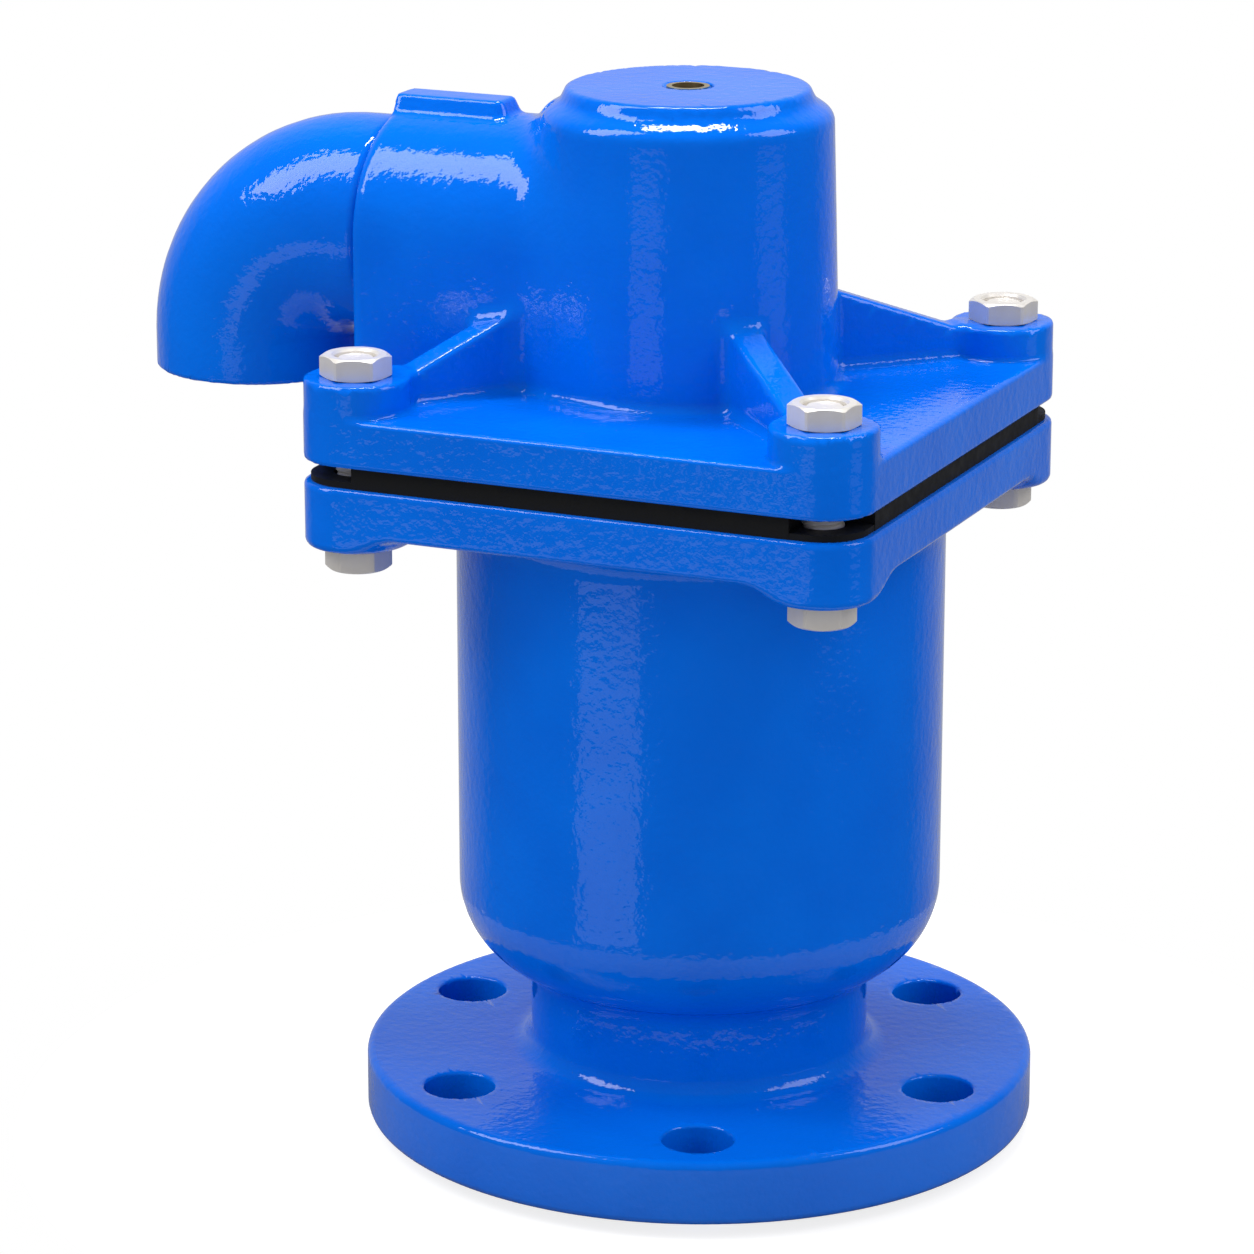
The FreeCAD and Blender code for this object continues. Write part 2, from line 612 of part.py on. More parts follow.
def cover_gasket():
    piece = new_body("cover_gasket", "-cover_shift", "body_height")
    sheet_part = new_sketch(piece, "XY_Plane")
    rounded_square(sheet_part, "half_spacing + ear_radius", "ear_radius")
    circle(sheet_part, "cover_shift", "0", "cavity_radius")
    pad(piece, sheet_part, "ear_thick")
    band = new_sketch(piece, "XY_Plane")
    edge = "half_plate - gasket_inset"
    relief = "ear_radius + ear_relief"
    reach = f"half_spacing - sqrt(pow({relief}; 2) - pow(lug_radius - gasket_inset; 2))"
    outline(band, [
        (reach, f"-({edge})"), (edge, f"-({reach})", f"-({relief})"),
        (edge, reach), (reach, edge, f"-({relief})"),
        (f"-({reach})", edge), (f"-({edge})", reach, f"-({relief})"),
        (f"-({edge})", f"-({reach})"), (f"-({reach})", f"-({edge})", f"-({relief})"),
    ])
    circle(band, "cover_shift", "0", "cavity_radius")
    pad(piece, band, "gasket_thick")
    holes = new_sketch(piece, "XY_Plane", "gasket_thick")
    four_circles(holes, "bolt_hole_dia / 2")
    pocket(piece, holes, "gasket_thick + overcut")
    return piece


# Outlet

def outlet_elbow():
    piece = cover_body("outlet_elbow")
    turned_down = [
        ("spigot_end", "outlet_rise"), ("elbow_bend_start", "outlet_rise"),
        ("elbow_axis", "outlet_rise - elbow_bend", "elbow_bend"), ("elbow_axis", "elbow_mouth"),
    ]
    outer_path = new_sketch(piece, "XZ_Plane")
    outline(outer_path, [("elbow_seam", "outlet_rise")] + turned_down[1:], closed=False)
    outer = new_sketch(piece, "YZ_Plane", "elbow_seam")
    circle(outer, "0", "outlet_rise", "elbow_radius")
    pipe(piece, "AdditivePipe", outer, outer_path)
    spigot = new_sketch(piece, "YZ_Plane", "elbow_seam")
    circle(spigot, "0", "outlet_rise", "spigot_radius")
    pad(piece, spigot, "spigot_length")
    inner_path = new_sketch(piece, "XZ_Plane")
    outline(inner_path, turned_down, closed=False)
    inner = new_sketch(piece, "YZ_Plane", "spigot_end")
    circle(inner, "0", "outlet_rise", "outlet_bore_radius")
    pipe(piece, "SubtractivePipe", inner, inner_path)
    groove = new_sketch(piece, "YZ_Plane", "elbow_seam + spigot_groove_setback")
    circle(groove, "0", "outlet_rise", "spigot_radius + overcut")
    circle(groove, "0", "outlet_rise", "spigot_radius - spigot_groove_depth")
    pocket(piece, groove, "spigot_groove_width", upward=True)
    for radius, base, length in (
            ("screen_recess_radius", "elbow_mouth", "screen_recess_depth"),
            ("circlip_radius", "circlip_base - thread_gap", "circlip_width + thread_gap")):
        recess = new_sketch(piece, "XY_Plane", base)
        circle(recess, "elbow_axis", "0", radius)
        pocket(piece, recess, length, upward=True)
    return piece


def pipe(piece, kind, sketch, path):
    feature = add(piece, kind, sketch)
    feature.Spine = (path, [])
    path.Visibility = False
    return feature


def elbow_o_ring():
    piece = cover_body("elbow_o_ring")
    sketch = new_sketch(piece, "XZ_Plane")
    middle = "(socket_radius + spigot_radius - spigot_groove_depth) / 2"
    circle(sketch, "spigot_seal_place", f"outlet_rise + {middle}", "spigot_seal_section")
    line = sketch.addGeometry(Part.LineSegment(
        Vector(0, value("outlet_rise"), 0), Vector(value("lug_radius"), value("outlet_rise"), 0)), True)
    for end, place in ((1, "0"), (2, "lug_radius")):
        fix(sketch, "DistanceX", line, end, place)
        fix(sketch, "DistanceY", line, end, "outlet_rise")
    feature = add(piece, "Revolution", sketch)
    feature.ReferenceAxis = (sketch, ["Axis0"])
    feature.Angle = 360
    return piece


def insect_screen():
    piece = cover_body("insect_screen")
    sketch = new_sketch(piece, "XY_Plane", "screen_top - screen_thick")
    bind(sketch, "AttachmentOffset.Base.x", "elbow_axis")
    circle(sketch, "0", "0", "screen_recess_radius - running_gap")
    circle(sketch, "0", "0", "screen_hole_dia / 2")
    for ring in (1, 2):
        ring_of_circles(sketch, str(6 * ring), f"screen_pitch * {ring}", "screen_hole_dia / 2")
    pad(piece, sketch, "screen_thick")
    return piece


def screen_circlip():
    piece = cover_body("screen_circlip")
    sketch = new_sketch(piece, "XY_Plane", "circlip_base")
    bind(sketch, "AttachmentOffset.Base.x", "elbow_axis")
    circle(sketch, "0", "0", "circlip_radius - running_gap")
    circle(sketch, "0", "0", "circlip_radius - circlip_depth")
    pad(piece, sketch, "circlip_width")
    gap = new_sketch(piece, "XY_Plane", "circlip_base + circlip_width + overcut")
    bind(gap, "AttachmentOffset.Base.x", "elbow_axis")
    rectangle(gap, "0", "circlip_radius + overcut", "circlip_gap / 2")
    pocket(piece, gap, "circlip_width + 2 * overcut")
    return piece


# Joint bolts

def four_hexagons(sketch, flats):
    for side in ("-half_spacing", "half_spacing"):
        for end in ("-half_spacing", "half_spacing"):
            hexagon(sketch, flats, side, end, "hex_turn")


def joint_bolts():
    piece = cover_body("joint_bolts")
    heads = new_sketch(piece, "XY_Plane", "bolt_head_top - bolt_head_height")
    four_hexagons(heads, "bolt_head_flats")
    pad(piece, heads, "bolt_head_height")
    shanks = new_sketch(piece, "XY_Plane", "bolt_head_top")
    four_circles(shanks, "bolt_dia / 2")
    pad(piece, shanks, "nut_top - bolt_end_below_nut - bolt_head_top")
    return piece


def joint_nuts():
    piece = cover_body("joint_nuts")
    sketch = new_sketch(piece, "XY_Plane", "lug_top")
    four_hexagons(sketch, "nut_flats")
    four_circles(sketch, "bolt_dia / 2 + thread_gap")
    pad(piece, sketch, "nut_height")
    return piece


# Seat under the cover

def seat_ring():
    piece = cover_body("seat_ring")
    groove = "seat_seal_section + thread_gap"
    groove_floor = f"seat_recess_depth - 2 * ({groove})"
    turn(piece, "Revolution", [
        ("seat_bore_radius", "seat_base"), ("lip_inner_radius", "seat_base"),
        ("lip_inner_radius", "seat_lip"), ("lip_outer_radius", "seat_lip"),
        ("lip_outer_radius", "seat_base"), ("seat_outer_radius", "seat_base"),
        ("seat_outer_radius", "seat_recess_depth"),
        (f"seat_seal_radius + {groove}", "seat_recess_depth"),
        (f"seat_seal_radius + {groove}", groove_floor),
        (f"seat_seal_radius - ({groove})", groove_floor),
        (f"seat_seal_radius - ({groove})", "seat_recess_depth"),
        ("seat_bore_radius + seat_throat_round", "seat_recess_depth"),
        ("seat_bore_radius", "seat_recess_depth - seat_throat_round", "seat_throat_round"),
    ])
    holes = new_sketch(piece, "XY_Plane", "seat_recess_depth + overcut")
    ring_of_circles(holes, "seat_screw_count", "screw_circle_radius",
                    "screw_radius + loose_gap", 45)
    pocket(piece, holes, "seat_recess_depth + seat_drop + 2 * overcut")
    return piece


def seat_o_ring():
    piece = cover_body("seat_o_ring")
    sketch = new_sketch(piece, "XZ_Plane")
    circle(sketch, "seat_seal_radius", "seat_recess_depth - seat_seal_section - thread_gap",
           "seat_seal_section")
    feature = add(piece, "Revolution", sketch)
    feature.ReferenceAxis = (sketch, ["V_Axis"])
    feature.Angle = 360
    return piece


def seat_screws():
    piece = cover_body("seat_screws")
    heads = new_sketch(piece, "XY_Plane", "cage_ring_base - screw_head_height")
    ring_of_circles(heads, "seat_screw_count", "screw_circle_radius", "screw_head_radius", 45)
    pad(piece, heads, "screw_head_height")
    shanks = new_sketch(piece, "XY_Plane", "cage_ring_base")
    ring_of_circles(shanks, "seat_screw_count", "screw_circle_radius", "screw_radius", 45)
    pad(piece, shanks, "screw_depth - (cage_ring_base)")
    return piece


# Float cage

def float_cage():
    piece = cover_body("float_cage")
    turn(piece, "Revolution", [
        ("cage_inner_radius", "cage_ring_base"), ("cage_radius", "cage_ring_base"),
        ("cage_radius", "seat_base"), ("cage_inner_radius", "seat_base"),
    ])
    bar_outer = "cage_radius - cage_bar_inset"
    bar_inner = f"{bar_outer} - cage_sheet"
    bar = new_sketch(piece, "XY_Plane", "cage_floor")
    rectangle(bar, bar_inner, bar_outer, "cage_bar_width / 2")
    bars = pad(piece, bar, "seat_base - (cage_floor)")
    rings(piece, [bars], "cage_bar_count")
    finger = new_sketch(piece, "XY_Plane", "disc_base - finger_thick")
    rectangle(finger, "finger_radius", bar_outer, "finger_width / 2")
    rings(piece, [pad(piece, finger, "finger_thick")], "cage_bar_count")
    base = new_sketch(piece, "XY_Plane", "cage_floor")
    circle(base, "0", "0", "cage_radius")
    circle(base, "0", "0", "guide_radius + thread_gap")
    ring_of_circles(base, "cage_bar_count", "cage_vent_circle", "cage_vent_radius", 45)
    pad(piece, base, "cage_sheet")
    holes = new_sketch(piece, "XY_Plane", "seat_base + overcut")
    ring_of_circles(holes, "seat_screw_count", "screw_circle_radius",
                    "screw_radius + loose_gap", 45)
    pocket(piece, holes, "cage_sheet + 2 * overcut")
    return piece


def float_guide():
    piece = cover_body("float_guide")
    plate_top = "cage_floor + cage_sheet"
    turn(piece, "Revolution", [
        ("spindle_radius + running_gap", "cage_floor - guide_below"),
        ("guide_radius", "cage_floor - guide_below"), ("guide_radius", plate_top),
        ("guide_flange_radius", plate_top),
        ("guide_flange_radius", f"{plate_top} + guide_flange_thick"),
        ("guide_radius", f"{plate_top} + guide_flange_thick"),
        ("guide_radius", "cage_floor + guide_above"),
        ("spindle_radius + running_gap", "cage_floor + guide_above"),
    ])
    return piece


def guide_bush():
    piece = cover_body("guide_bush")
    bore = "stem_radius + running_gap"
    turn(piece, "Revolution", [
        (bore, "hood_rise - bush_length"), ("bush_radius", "hood_rise - bush_length"),
        ("bush_radius", "hood_rise"), (bore, "hood_rise"),
    ])
    shoulder = new_sketch(piece, "XY_Plane", "bore_roof - bush_hex_height")
    hexagon(shoulder, "bush_hex_flats")
    circle(shoulder, "0", "0", bore)
    pad(piece, shoulder, "bush_hex_height")
    return piece


# Closing disc

def closing_disc():
    piece = cover_body("closing_disc")
    stem_hole = "stem_radius + thread_gap"
    nozzle_hole = "nozzle_radius + thread_gap"
    turn(piece, "Revolution", [
        (stem_hole, "disc_top"), (stem_hole, "hub_base + nozzle_length"),
        (nozzle_hole, "hub_base + nozzle_length"), (nozzle_hole, "hub_base"),
        ("hub_radius", "hub_base"), ("hub_radius", "disc_base"),
        ("disc_radius", "disc_base"), ("disc_radius", "disc_top"),
    ])
    return piece


def disc_seal():
    piece = cover_body("disc_seal")
    turn(piece, "Revolution", [
        ("seal_inner_radius + thread_gap", "disc_top"), ("seal_outer_radius", "disc_top"),
        ("seal_outer_radius", "seal_top"), ("seal_inner_radius + thread_gap", "seal_top"),
    ])
    return piece


def seal_plate():
    piece = cover_body("seal_plate")
    stem_hole = "stem_radius + thread_gap"
    turn(piece, "Revolution", [
        (stem_hole, "disc_top"), ("seal_inner_radius", "disc_top"),
        ("seal_inner_radius", "seal_top"), ("clamp_radius", "seal_top"),
        ("clamp_radius", "clamp_top"), (stem_hole, "clamp_top"),
    ])
    return piece


def stem_nut():
    piece = cover_body("stem_nut")
    sketch = new_sketch(piece, "XY_Plane", "clamp_top")
    hexagon(sketch, "stem_nut_flats")
    circle(sketch, "0", "0", "stem_radius + thread_gap")
    pad(piece, sketch, "stem_nut_height")
    return piece


def guide_stem():
    piece = cover_body("guide_stem")
    turn(piece, "Revolution", [
        ("stem_bore_radius", "stem_base"), ("stem_radius", "stem_base"),
        ("stem_radius", "stem_top"), ("stem_bore_radius", "stem_top"),
    ])
    return piece


def orifice_nozzle():
    piece = cover_body("orifice_nozzle")
    tip_root = "nozzle_tip + nozzle_tip_length"
    turn(piece, "Revolution", [
        ("nozzle_bore_radius", "nozzle_tip"), ("nozzle_tip_radius", "nozzle_tip"),
        ("nozzle_tip_radius", tip_root), ("nozzle_flange_radius", tip_root),
        ("nozzle_flange_radius", "hub_base"), ("nozzle_radius", "hub_base"),
        ("nozzle_radius", "hub_base + nozzle_length"),
        ("nozzle_bore_radius", "hub_base + nozzle_length"),
    ])
    return piece


def float_sleeve():
    # Screws onto the disc's hub and catches the head of the float's spindle.
    piece = cover_body("float_sleeve")
    inner = "hub_radius + thread_gap"
    turn(piece, "Revolution", [
        ("neck_radius + loose_gap", "sleeve_base"), ("sleeve_radius", "sleeve_base"),
        ("sleeve_radius", "disc_base"), (inner, "disc_base"), (inner, "sleeve_lip_top"),
        ("neck_radius + loose_gap", "sleeve_lip_top"),
    ])
    top = "disc_base - sleeve_window_drop"
    low = f"{top} - sleeve_window_height"
    half = "sleeve_window_width / 2"
    for role in ("XZ_Plane", "YZ_Plane"):
        window = new_sketch(piece, role)
        outline(window, [(f"-{half}", low), (half, low), (half, top), (f"-{half}", top)])
        cut = pocket(piece, window, "3 * sleeve_radius")
        cut.Midplane = True
    return piece


# Float

def float_shell():
    piece = cover_body("float_shell")
    sketch = new_sketch(piece, "XZ_Plane")
    bore = "spindle_radius + thread_gap"
    for inset, radius, corner in (
            ("0", bore, "float_round"),
            ("float_wall", f"{bore} + float_tube_wall", "float_round - float_wall")):
        low = f"float_base + {inset}"
        high = f"float_top - {inset}"
        wide = f"float_radius - {inset}"
        outline(sketch, [
            (radius, low), (f"{wide} - ({corner})", low),
            (wide, f"{low} + {corner}", corner), (wide, f"{high} - ({corner})"),
            (f"{wide} - ({corner})", high, corner), (radius, high),
        ])
    feature = add(piece, "Revolution", sketch)
    feature.ReferenceAxis = (sketch, ["V_Axis"])
    feature.Angle = 360
    return piece


def float_spindle():
    piece = cover_body("float_spindle")
    recess = "pad_radius + thread_gap"
    turn(piece, "Revolution", [
        ("0", "spindle_base"), ("spindle_radius", "spindle_base"),
        ("spindle_radius", "float_top"), ("neck_radius", "float_top"),
        ("neck_radius", "sleeve_lip_top"), ("head_radius", "sleeve_lip_top"),
        ("head_radius", "head_top"), (recess, "head_top"), (recess, "pad_base"),
        ("0", "pad_base"),
    ])
    return piece


def orifice_pad():
    piece = cover_body("orifice_pad")
    sketch = new_sketch(piece, "XY_Plane", "pad_base")
    circle(sketch, "0", "0", "pad_radius")
    pad(piece, sketch, "pad_thick")
    return piece


def float_nut():
    piece = cover_body("float_nut")
    sketch = new_sketch(piece, "XY_Plane", "float_base - float_nut_height")
    hexagon(sketch, "float_nut_flats")
    circle(sketch, "0", "0", "spindle_radius + thread_gap")
    pad(piece, sketch, "float_nut_height")
    return piece


pieces = [make() for make in (
    valve_body, cover, cover_gasket, outlet_elbow, elbow_o_ring, insect_screen, screen_circlip,
    joint_bolts, joint_nuts, seat_ring, seat_o_ring, seat_screws, float_cage, float_guide,
    guide_bush, closing_disc, disc_seal, seal_plate, stem_nut, guide_stem, orifice_nozzle,
    float_sleeve, float_shell, float_spindle, orifice_pad, float_nut,
)]
doc.recompute()
for item in doc.Objects:
    if "Invalid" in item.State or "Error" in item.State:
        raise RuntimeError(f"{item.Label} did not compute")
for piece in pieces:
    if piece.Shape.isNull() or not piece.Shape.isValid():
        raise RuntimeError(f"{piece.Label} has no valid shape")
for piece in pieces:
    piece.Shape.exportStep(f"parts/{piece.Label}.step")
    solids = piece.Shape.Solids
    print(piece.Label, len(solids), "solid(s)", round(piece.Shape.Volume), "mm3")
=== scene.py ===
import json
import math

import bpy
import numpy as np
import openvdb
from mathutils import Matrix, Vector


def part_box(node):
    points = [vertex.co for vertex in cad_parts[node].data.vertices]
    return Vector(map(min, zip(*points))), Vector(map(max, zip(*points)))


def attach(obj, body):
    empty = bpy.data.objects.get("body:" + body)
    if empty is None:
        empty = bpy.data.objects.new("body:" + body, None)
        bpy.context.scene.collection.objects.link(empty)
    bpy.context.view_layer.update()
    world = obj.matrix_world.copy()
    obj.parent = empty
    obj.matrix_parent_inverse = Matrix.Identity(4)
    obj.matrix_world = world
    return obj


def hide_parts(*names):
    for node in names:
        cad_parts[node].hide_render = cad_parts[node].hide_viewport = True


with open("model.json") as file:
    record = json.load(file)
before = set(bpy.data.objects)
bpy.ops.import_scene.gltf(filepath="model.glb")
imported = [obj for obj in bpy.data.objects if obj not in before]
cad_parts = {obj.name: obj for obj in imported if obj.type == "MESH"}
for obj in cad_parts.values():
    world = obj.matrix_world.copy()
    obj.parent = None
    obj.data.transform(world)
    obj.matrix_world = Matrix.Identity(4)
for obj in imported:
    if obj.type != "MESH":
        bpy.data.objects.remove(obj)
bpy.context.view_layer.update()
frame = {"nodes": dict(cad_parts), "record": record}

mm = 0.001
deg = math.pi / 180


def boxOf(node):
    # lowest and highest corner of a CAD node, in mm
    low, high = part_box(node)
    return np.array(low) / mm, np.array(high) / mm


# Levels and axes read from the frame

bodyLow, bodyHigh = boxOf("valve_body")
coverLow, coverHigh = boxOf("cover")
elbowLow, elbowHigh = boxOf("outlet_elbow")
boltLow, boltHigh = boxOf("joint_bolts")
nutLow, nutHigh = boxOf("joint_nuts")

joint = {
    "half": coverHigh[1],                # half the square plates
    "corner": 12.5,                      # corner radius of the plates, and of the lugs
    "axisX": coverHigh[0] - coverHigh[1],
    "bodyTop": bodyHigh[2],
    "coverBase": coverLow[2],
    "thick": 11.5,                       # each plate
    "boltRadius": 5.0,
    "holeRadius": 5.5,
    "holeEdge": 0.5,
    "threadPitch": 1.5,
    "hexTurn": 23.0,                     # degrees that the hexagons are turned about their axes
}
joint["spacing"] = joint["half"] - joint["corner"]


# Camera

camera = {
    "place": (0.4559, -1.0682, 0.4633),
    "heading": 23.996,                   # degrees to the left of +Y
    "tilt": 16.22,                       # degrees down
    "lens": 142.66,                      # mm, as is the sensor's width
    "sensor": 36,
}


def makeCamera():
    data = bpy.data.cameras.new("camera")
    data.sensor_width = camera["sensor"]
    data.lens = camera["lens"]
    data.clip_start = 0.01
    data.clip_end = 50
    heading, tilt = camera["heading"] * deg, camera["tilt"] * deg
    forward = np.array((-math.sin(heading) * math.cos(tilt),
                        math.cos(heading) * math.cos(tilt), -math.sin(tilt)))
    right = np.array((math.cos(heading), math.sin(heading), 0.0))
    up = np.cross(right, forward)
    turned = np.eye(4)
    turned[:3, 0], turned[:3, 1], turned[:3, 2] = right, up, -forward
    turned[:3, 3] = camera["place"]
    made = bpy.data.objects.new("camera", data)
    made.matrix_world = Matrix(turned.tolist())
    bpy.context.scene.collection.objects.link(made)
    bpy.context.scene.camera = made


# Materials

def linear(hexColour):
    # sRGB hex to a linear colour with alpha
    parts = [int(hexColour[i:i + 2], 16) / 255 for i in (1, 3, 5)]
    return [c / 12.92 if c <= 0.04045 else ((c + 0.055) / 1.055) ** 2.4 for c in parts] + [1.0]


def addNode(tree, kind, inputs=None, **settings):
    # adds a node with its own settings; an input takes a value or another node's socket
    made = tree.nodes.new("ShaderNode" + kind)
    for name, value in settings.items():
        setattr(made, name, value)
    for name, value in (inputs or {}).items():
        if isinstance(value, bpy.types.NodeSocket):
            tree.links.new(value, made.inputs[name])
        else:
            made.inputs[name].default_value = value
    return made


def newMaterial(name):
    made = bpy.data.materials.new(name)
    made.use_nodes = True
    tree = made.node_tree
    tree.nodes.clear()
    spot = addNode(tree, "TexCoord").outputs["Object"]
    return made, tree, spot


def noise(tree, spot, sizeMm, detail=2.0, roughness=0.5):
    # noise whose lumps are about sizeMm across
    return addNode(tree, "TexNoise", {
        "Vector": spot, "Scale": 1 / (sizeMm * mm), "Detail": detail, "Roughness": roughness,
    }).outputs["Fac"]


def blendColours(tree, share, first, second):
    mixed = addNode(tree, "Mix", data_type="RGBA")
    tree.links.new(share, mixed.inputs[0])
    mixed.inputs[6].default_value = linear(first)
    mixed.inputs[7].default_value = linear(second)
    return mixed.outputs[2]


def spread(tree, source, fromRange, toRange):
    # carries a value from one range to another, and holds it at the ends
    return addNode(tree, "MapRange", {
        "Value": source, "From Min": fromRange[0], "From Max": fromRange[1],
        "To Min": toRange[0], "To Max": toRange[1],
    }).outputs["Result"]


def bump(tree, height, depthMm, normal=None):
    inputs = {"Height": height, "Strength": 1.0, "Distance": depthMm * mm}
    if normal:
        inputs["Normal"] = normal
    return addNode(tree, "Bump", inputs).outputs["Normal"]


def finish(tree, inputs):
    shader = addNode(tree, "BsdfPrincipled", inputs)
    addNode(tree, "OutputMaterial", {"Surface": shader.outputs["BSDF"]})


noiseRange = (0.3, 0.7)                  # where most of a noise's values lie

enamel = {
    "colour": "#0065DC", "thinColour": "#006CE4", "patchMm": 30.0, "patchRange": (0.35, 0.7),
    "peelMm": 2.2, "peelDepthMm": 0.14,
    "castMm": 6.0, "castDepthMm": 0.12,
    "roughness": (0.03, 0.07), "ior": 1.5,
}


def epoxyPowderCoat():
    # Fused epoxy powder on a shot-blasted sand casting: a thick glossy film with orange peel,
    # over a skin that is a little wavy, so straight reflections come out crinkled.
    made, tree, spot = newMaterial("epoxyPowderCoat")
    peel = noise(tree, spot, enamel["peelMm"])
    cast = noise(tree, spot, enamel["castMm"], 3.0, 0.55)
    patches = spread(tree, noise(tree, spot, enamel["patchMm"]), enamel["patchRange"], (0, 1))
    normal = bump(tree, cast, enamel["castDepthMm"])
    finish(tree, {
        "Base Color": blendColours(tree, patches, enamel["colour"], enamel["thinColour"]),
        "Normal": bump(tree, peel, enamel["peelDepthMm"], normal), "IOR": enamel["ior"],
        "Roughness": spread(tree, cast, noiseRange, enamel["roughness"]),
    })
    return made


steel = {
    "dull": "#DCD7D1", "bright": "#EAE6E0", "toneMm": 4.0, "metallic": 0.35,
    "grainMm": 0.5, "grainDepthMm": 0.006, "roughness": (0.3, 0.42),
}


def stainlessSteel():
    # A2 stainless, cold formed and tumbled: bright and a little grey, with fine soft scratches.
    made, tree, spot = newMaterial("stainlessSteel")
    grain = noise(tree, spot, steel["grainMm"], 3.0, 0.6)
    tone = noise(tree, spot, steel["toneMm"])
    finish(tree, {
        "Base Color": blendColours(tree, tone, steel["dull"], steel["bright"]),
        "Metallic": steel["metallic"], "Normal": bump(tree, grain, steel["grainDepthMm"]),
        "Roughness": spread(tree, grain, noiseRange, steel["roughness"]),
    })
    return made


rubber = {
    "dark": "#08090A", "bloom": "#101112", "bloomMm": 3.0, "ior": 1.5,
    "grainMm": 0.6, "grainDepthMm": 0.02, "roughness": (0.5, 0.7),
}


def blackRubber():
    # Moulded EPDM: matt black with a faint bloom.
    made, tree, spot = newMaterial("blackRubber")
    bloom = noise(tree, spot, rubber["bloomMm"], 3.0)
    grain = noise(tree, spot, rubber["grainMm"])
    finish(tree, {
        "Base Color": blendColours(tree, bloom, rubber["dark"], rubber["bloom"]),
        "IOR": rubber["ior"], "Normal": bump(tree, grain, rubber["grainDepthMm"]),
        "Roughness": spread(tree, bloom, noiseRange, rubber["roughness"]),
    })
    return made


bronze = {
    "dark": "#C6B590", "light": "#D9CCAC", "toneMm": 3.0, "roughness": (0.25, 0.4),
    "ringScale": 1 / (0.6 * mm) / 6.283, "ringWander": 0.4, "ringDepthMm": 0.01,
}


def turnedBronze():
    # Gunmetal turned in a lathe: warm, with fine rings from the tool.
    made, tree, spot = newMaterial("turnedBronze")
    rings = addNode(tree, "TexWave", {
        "Vector": spot, "Scale": bronze["ringScale"], "Distortion": bronze["ringWander"],
    }, bands_direction="Z").outputs["Fac"]
    tone = noise(tree, spot, bronze["toneMm"])
    finish(tree, {
        "Base Color": blendColours(tree, tone, bronze["dark"], bronze["light"]),
        "Metallic": 1.0, "Normal": bump(tree, rings, bronze["ringDepthMm"]),
        "Roughness": spread(tree, tone, noiseRange, bronze["roughness"]),
    })
    return made


acetal = {
    "cream": "#E6E3DA", "white": "#EFEDE6", "toneMm": 5.0, "ior": 1.48,
    "grainMm": 0.8, "grainDepthMm": 0.01, "roughness": (0.35, 0.45),
}


def naturalAcetal():
    # Machined acetal rod: milky white, slightly waxy.
    made, tree, spot = newMaterial("naturalAcetal")
    tone = noise(tree, spot, acetal["toneMm"])
    grain = noise(tree, spot, acetal["grainMm"])
    finish(tree, {
        "Base Color": blendColours(tree, tone, acetal["cream"], acetal["white"]),
        "IOR": acetal["ior"], "Normal": bump(tree, grain, acetal["grainDepthMm"]),
        "Roughness": spread(tree, tone, noiseRange, acetal["roughness"]),
    })
    return made


materials = {
    "blue_casting": epoxyPowderCoat(), "stainless": stainlessSteel(),
    "black_rubber": blackRubber(), "bronze": turnedBronze(), "guide_plastic": naturalAcetal(),
}


def dressNodes():
    # every CAD node takes the material of its slot
    for row in frame["record"]["subparts"]:
        node = frame["nodes"][row["node"]]
        node.data.materials.clear()
        node.data.materials.append(materials[row["material_slot"]])


# Distance fields, in mm, negative inside. A bare number added to a level only carries a form
# into the next one, or a cut out of the metal.

sharp = 0.01                             # the rounding of an edge that another form hides
noHole = -99.0                           # a distance that cuts nothing


def roundJoin(a, b, radius):
    # union of two fields, with a fillet along the seam
    corner = np.hypot(np.maximum(radius - a, 0), np.maximum(radius - b, 0))
    return np.maximum(radius, np.minimum(a, b)) - corner


def roundMeet(a, b, radius):
    # what two fields share, with the new edge rounded
    corner = np.hypot(np.maximum(radius + a, 0), np.maximum(radius + b, 0))
    return np.minimum(-radius, np.maximum(a, b)) + corner


def slab(side, z, low, high, edge):
    # an upright prism: side is the distance from its wall, and both ends have rounded edges
    return roundMeet(side, np.abs(z - (low + high) / 2) - (high - low) / 2, edge)


def square(x, y, halfX, halfY, corner):
    # distance from a rectangle with rounded corners
    dx = np.abs(x) - halfX + corner
    dy = np.abs(y) - halfY + corner
    outside = np.hypot(np.maximum(dx, 0), np.maximum(dy, 0))
    return outside + np.minimum(np.maximum(dx, dy), 0) - corner


def deck(x, y, z, low, high, lugLow, lugHigh, lugEdge, flare, edge):
    # a square plate whose four corners are round lugs that stand higher or hang lower, and the
    # distance to the nearest bolt's axis
    fromAxis = x - joint["axisX"]
    toBolt = np.hypot(np.abs(fromAxis) - joint["spacing"], np.abs(y) - joint["spacing"])
    plate = np.abs(z - (low + high) / 2) - (high - low) / 2
    proud = 0.3 * edge                   # the lugs pass the corners a little, to be trimmed
    lug = slab(toBolt - joint["corner"] - proud, z, lugLow, lugHigh, lugEdge)
    outline = square(fromAxis, y, joint["half"], joint["half"], joint["corner"])
    return roundMeet(roundJoin(plate, lug, flare), outline, edge), toBolt


def slope(field, points, step=0.15):
    # the field's gradient at some points, by central differences
    rows = []
    for axis in range(3):
        shift = np.zeros(3)
        shift[axis] = step
        rows.append(field(*(points + shift).T) - field(*(points - shift).T))
    return np.stack(rows, -1) / (2 * step)


# the band of grid cells kept round a skin, and how its points slide onto it, in cells a step
meshing = {"marginCells": 3, "slides": 5, "leastSlope": 0.3, "longestMove": 0.5}


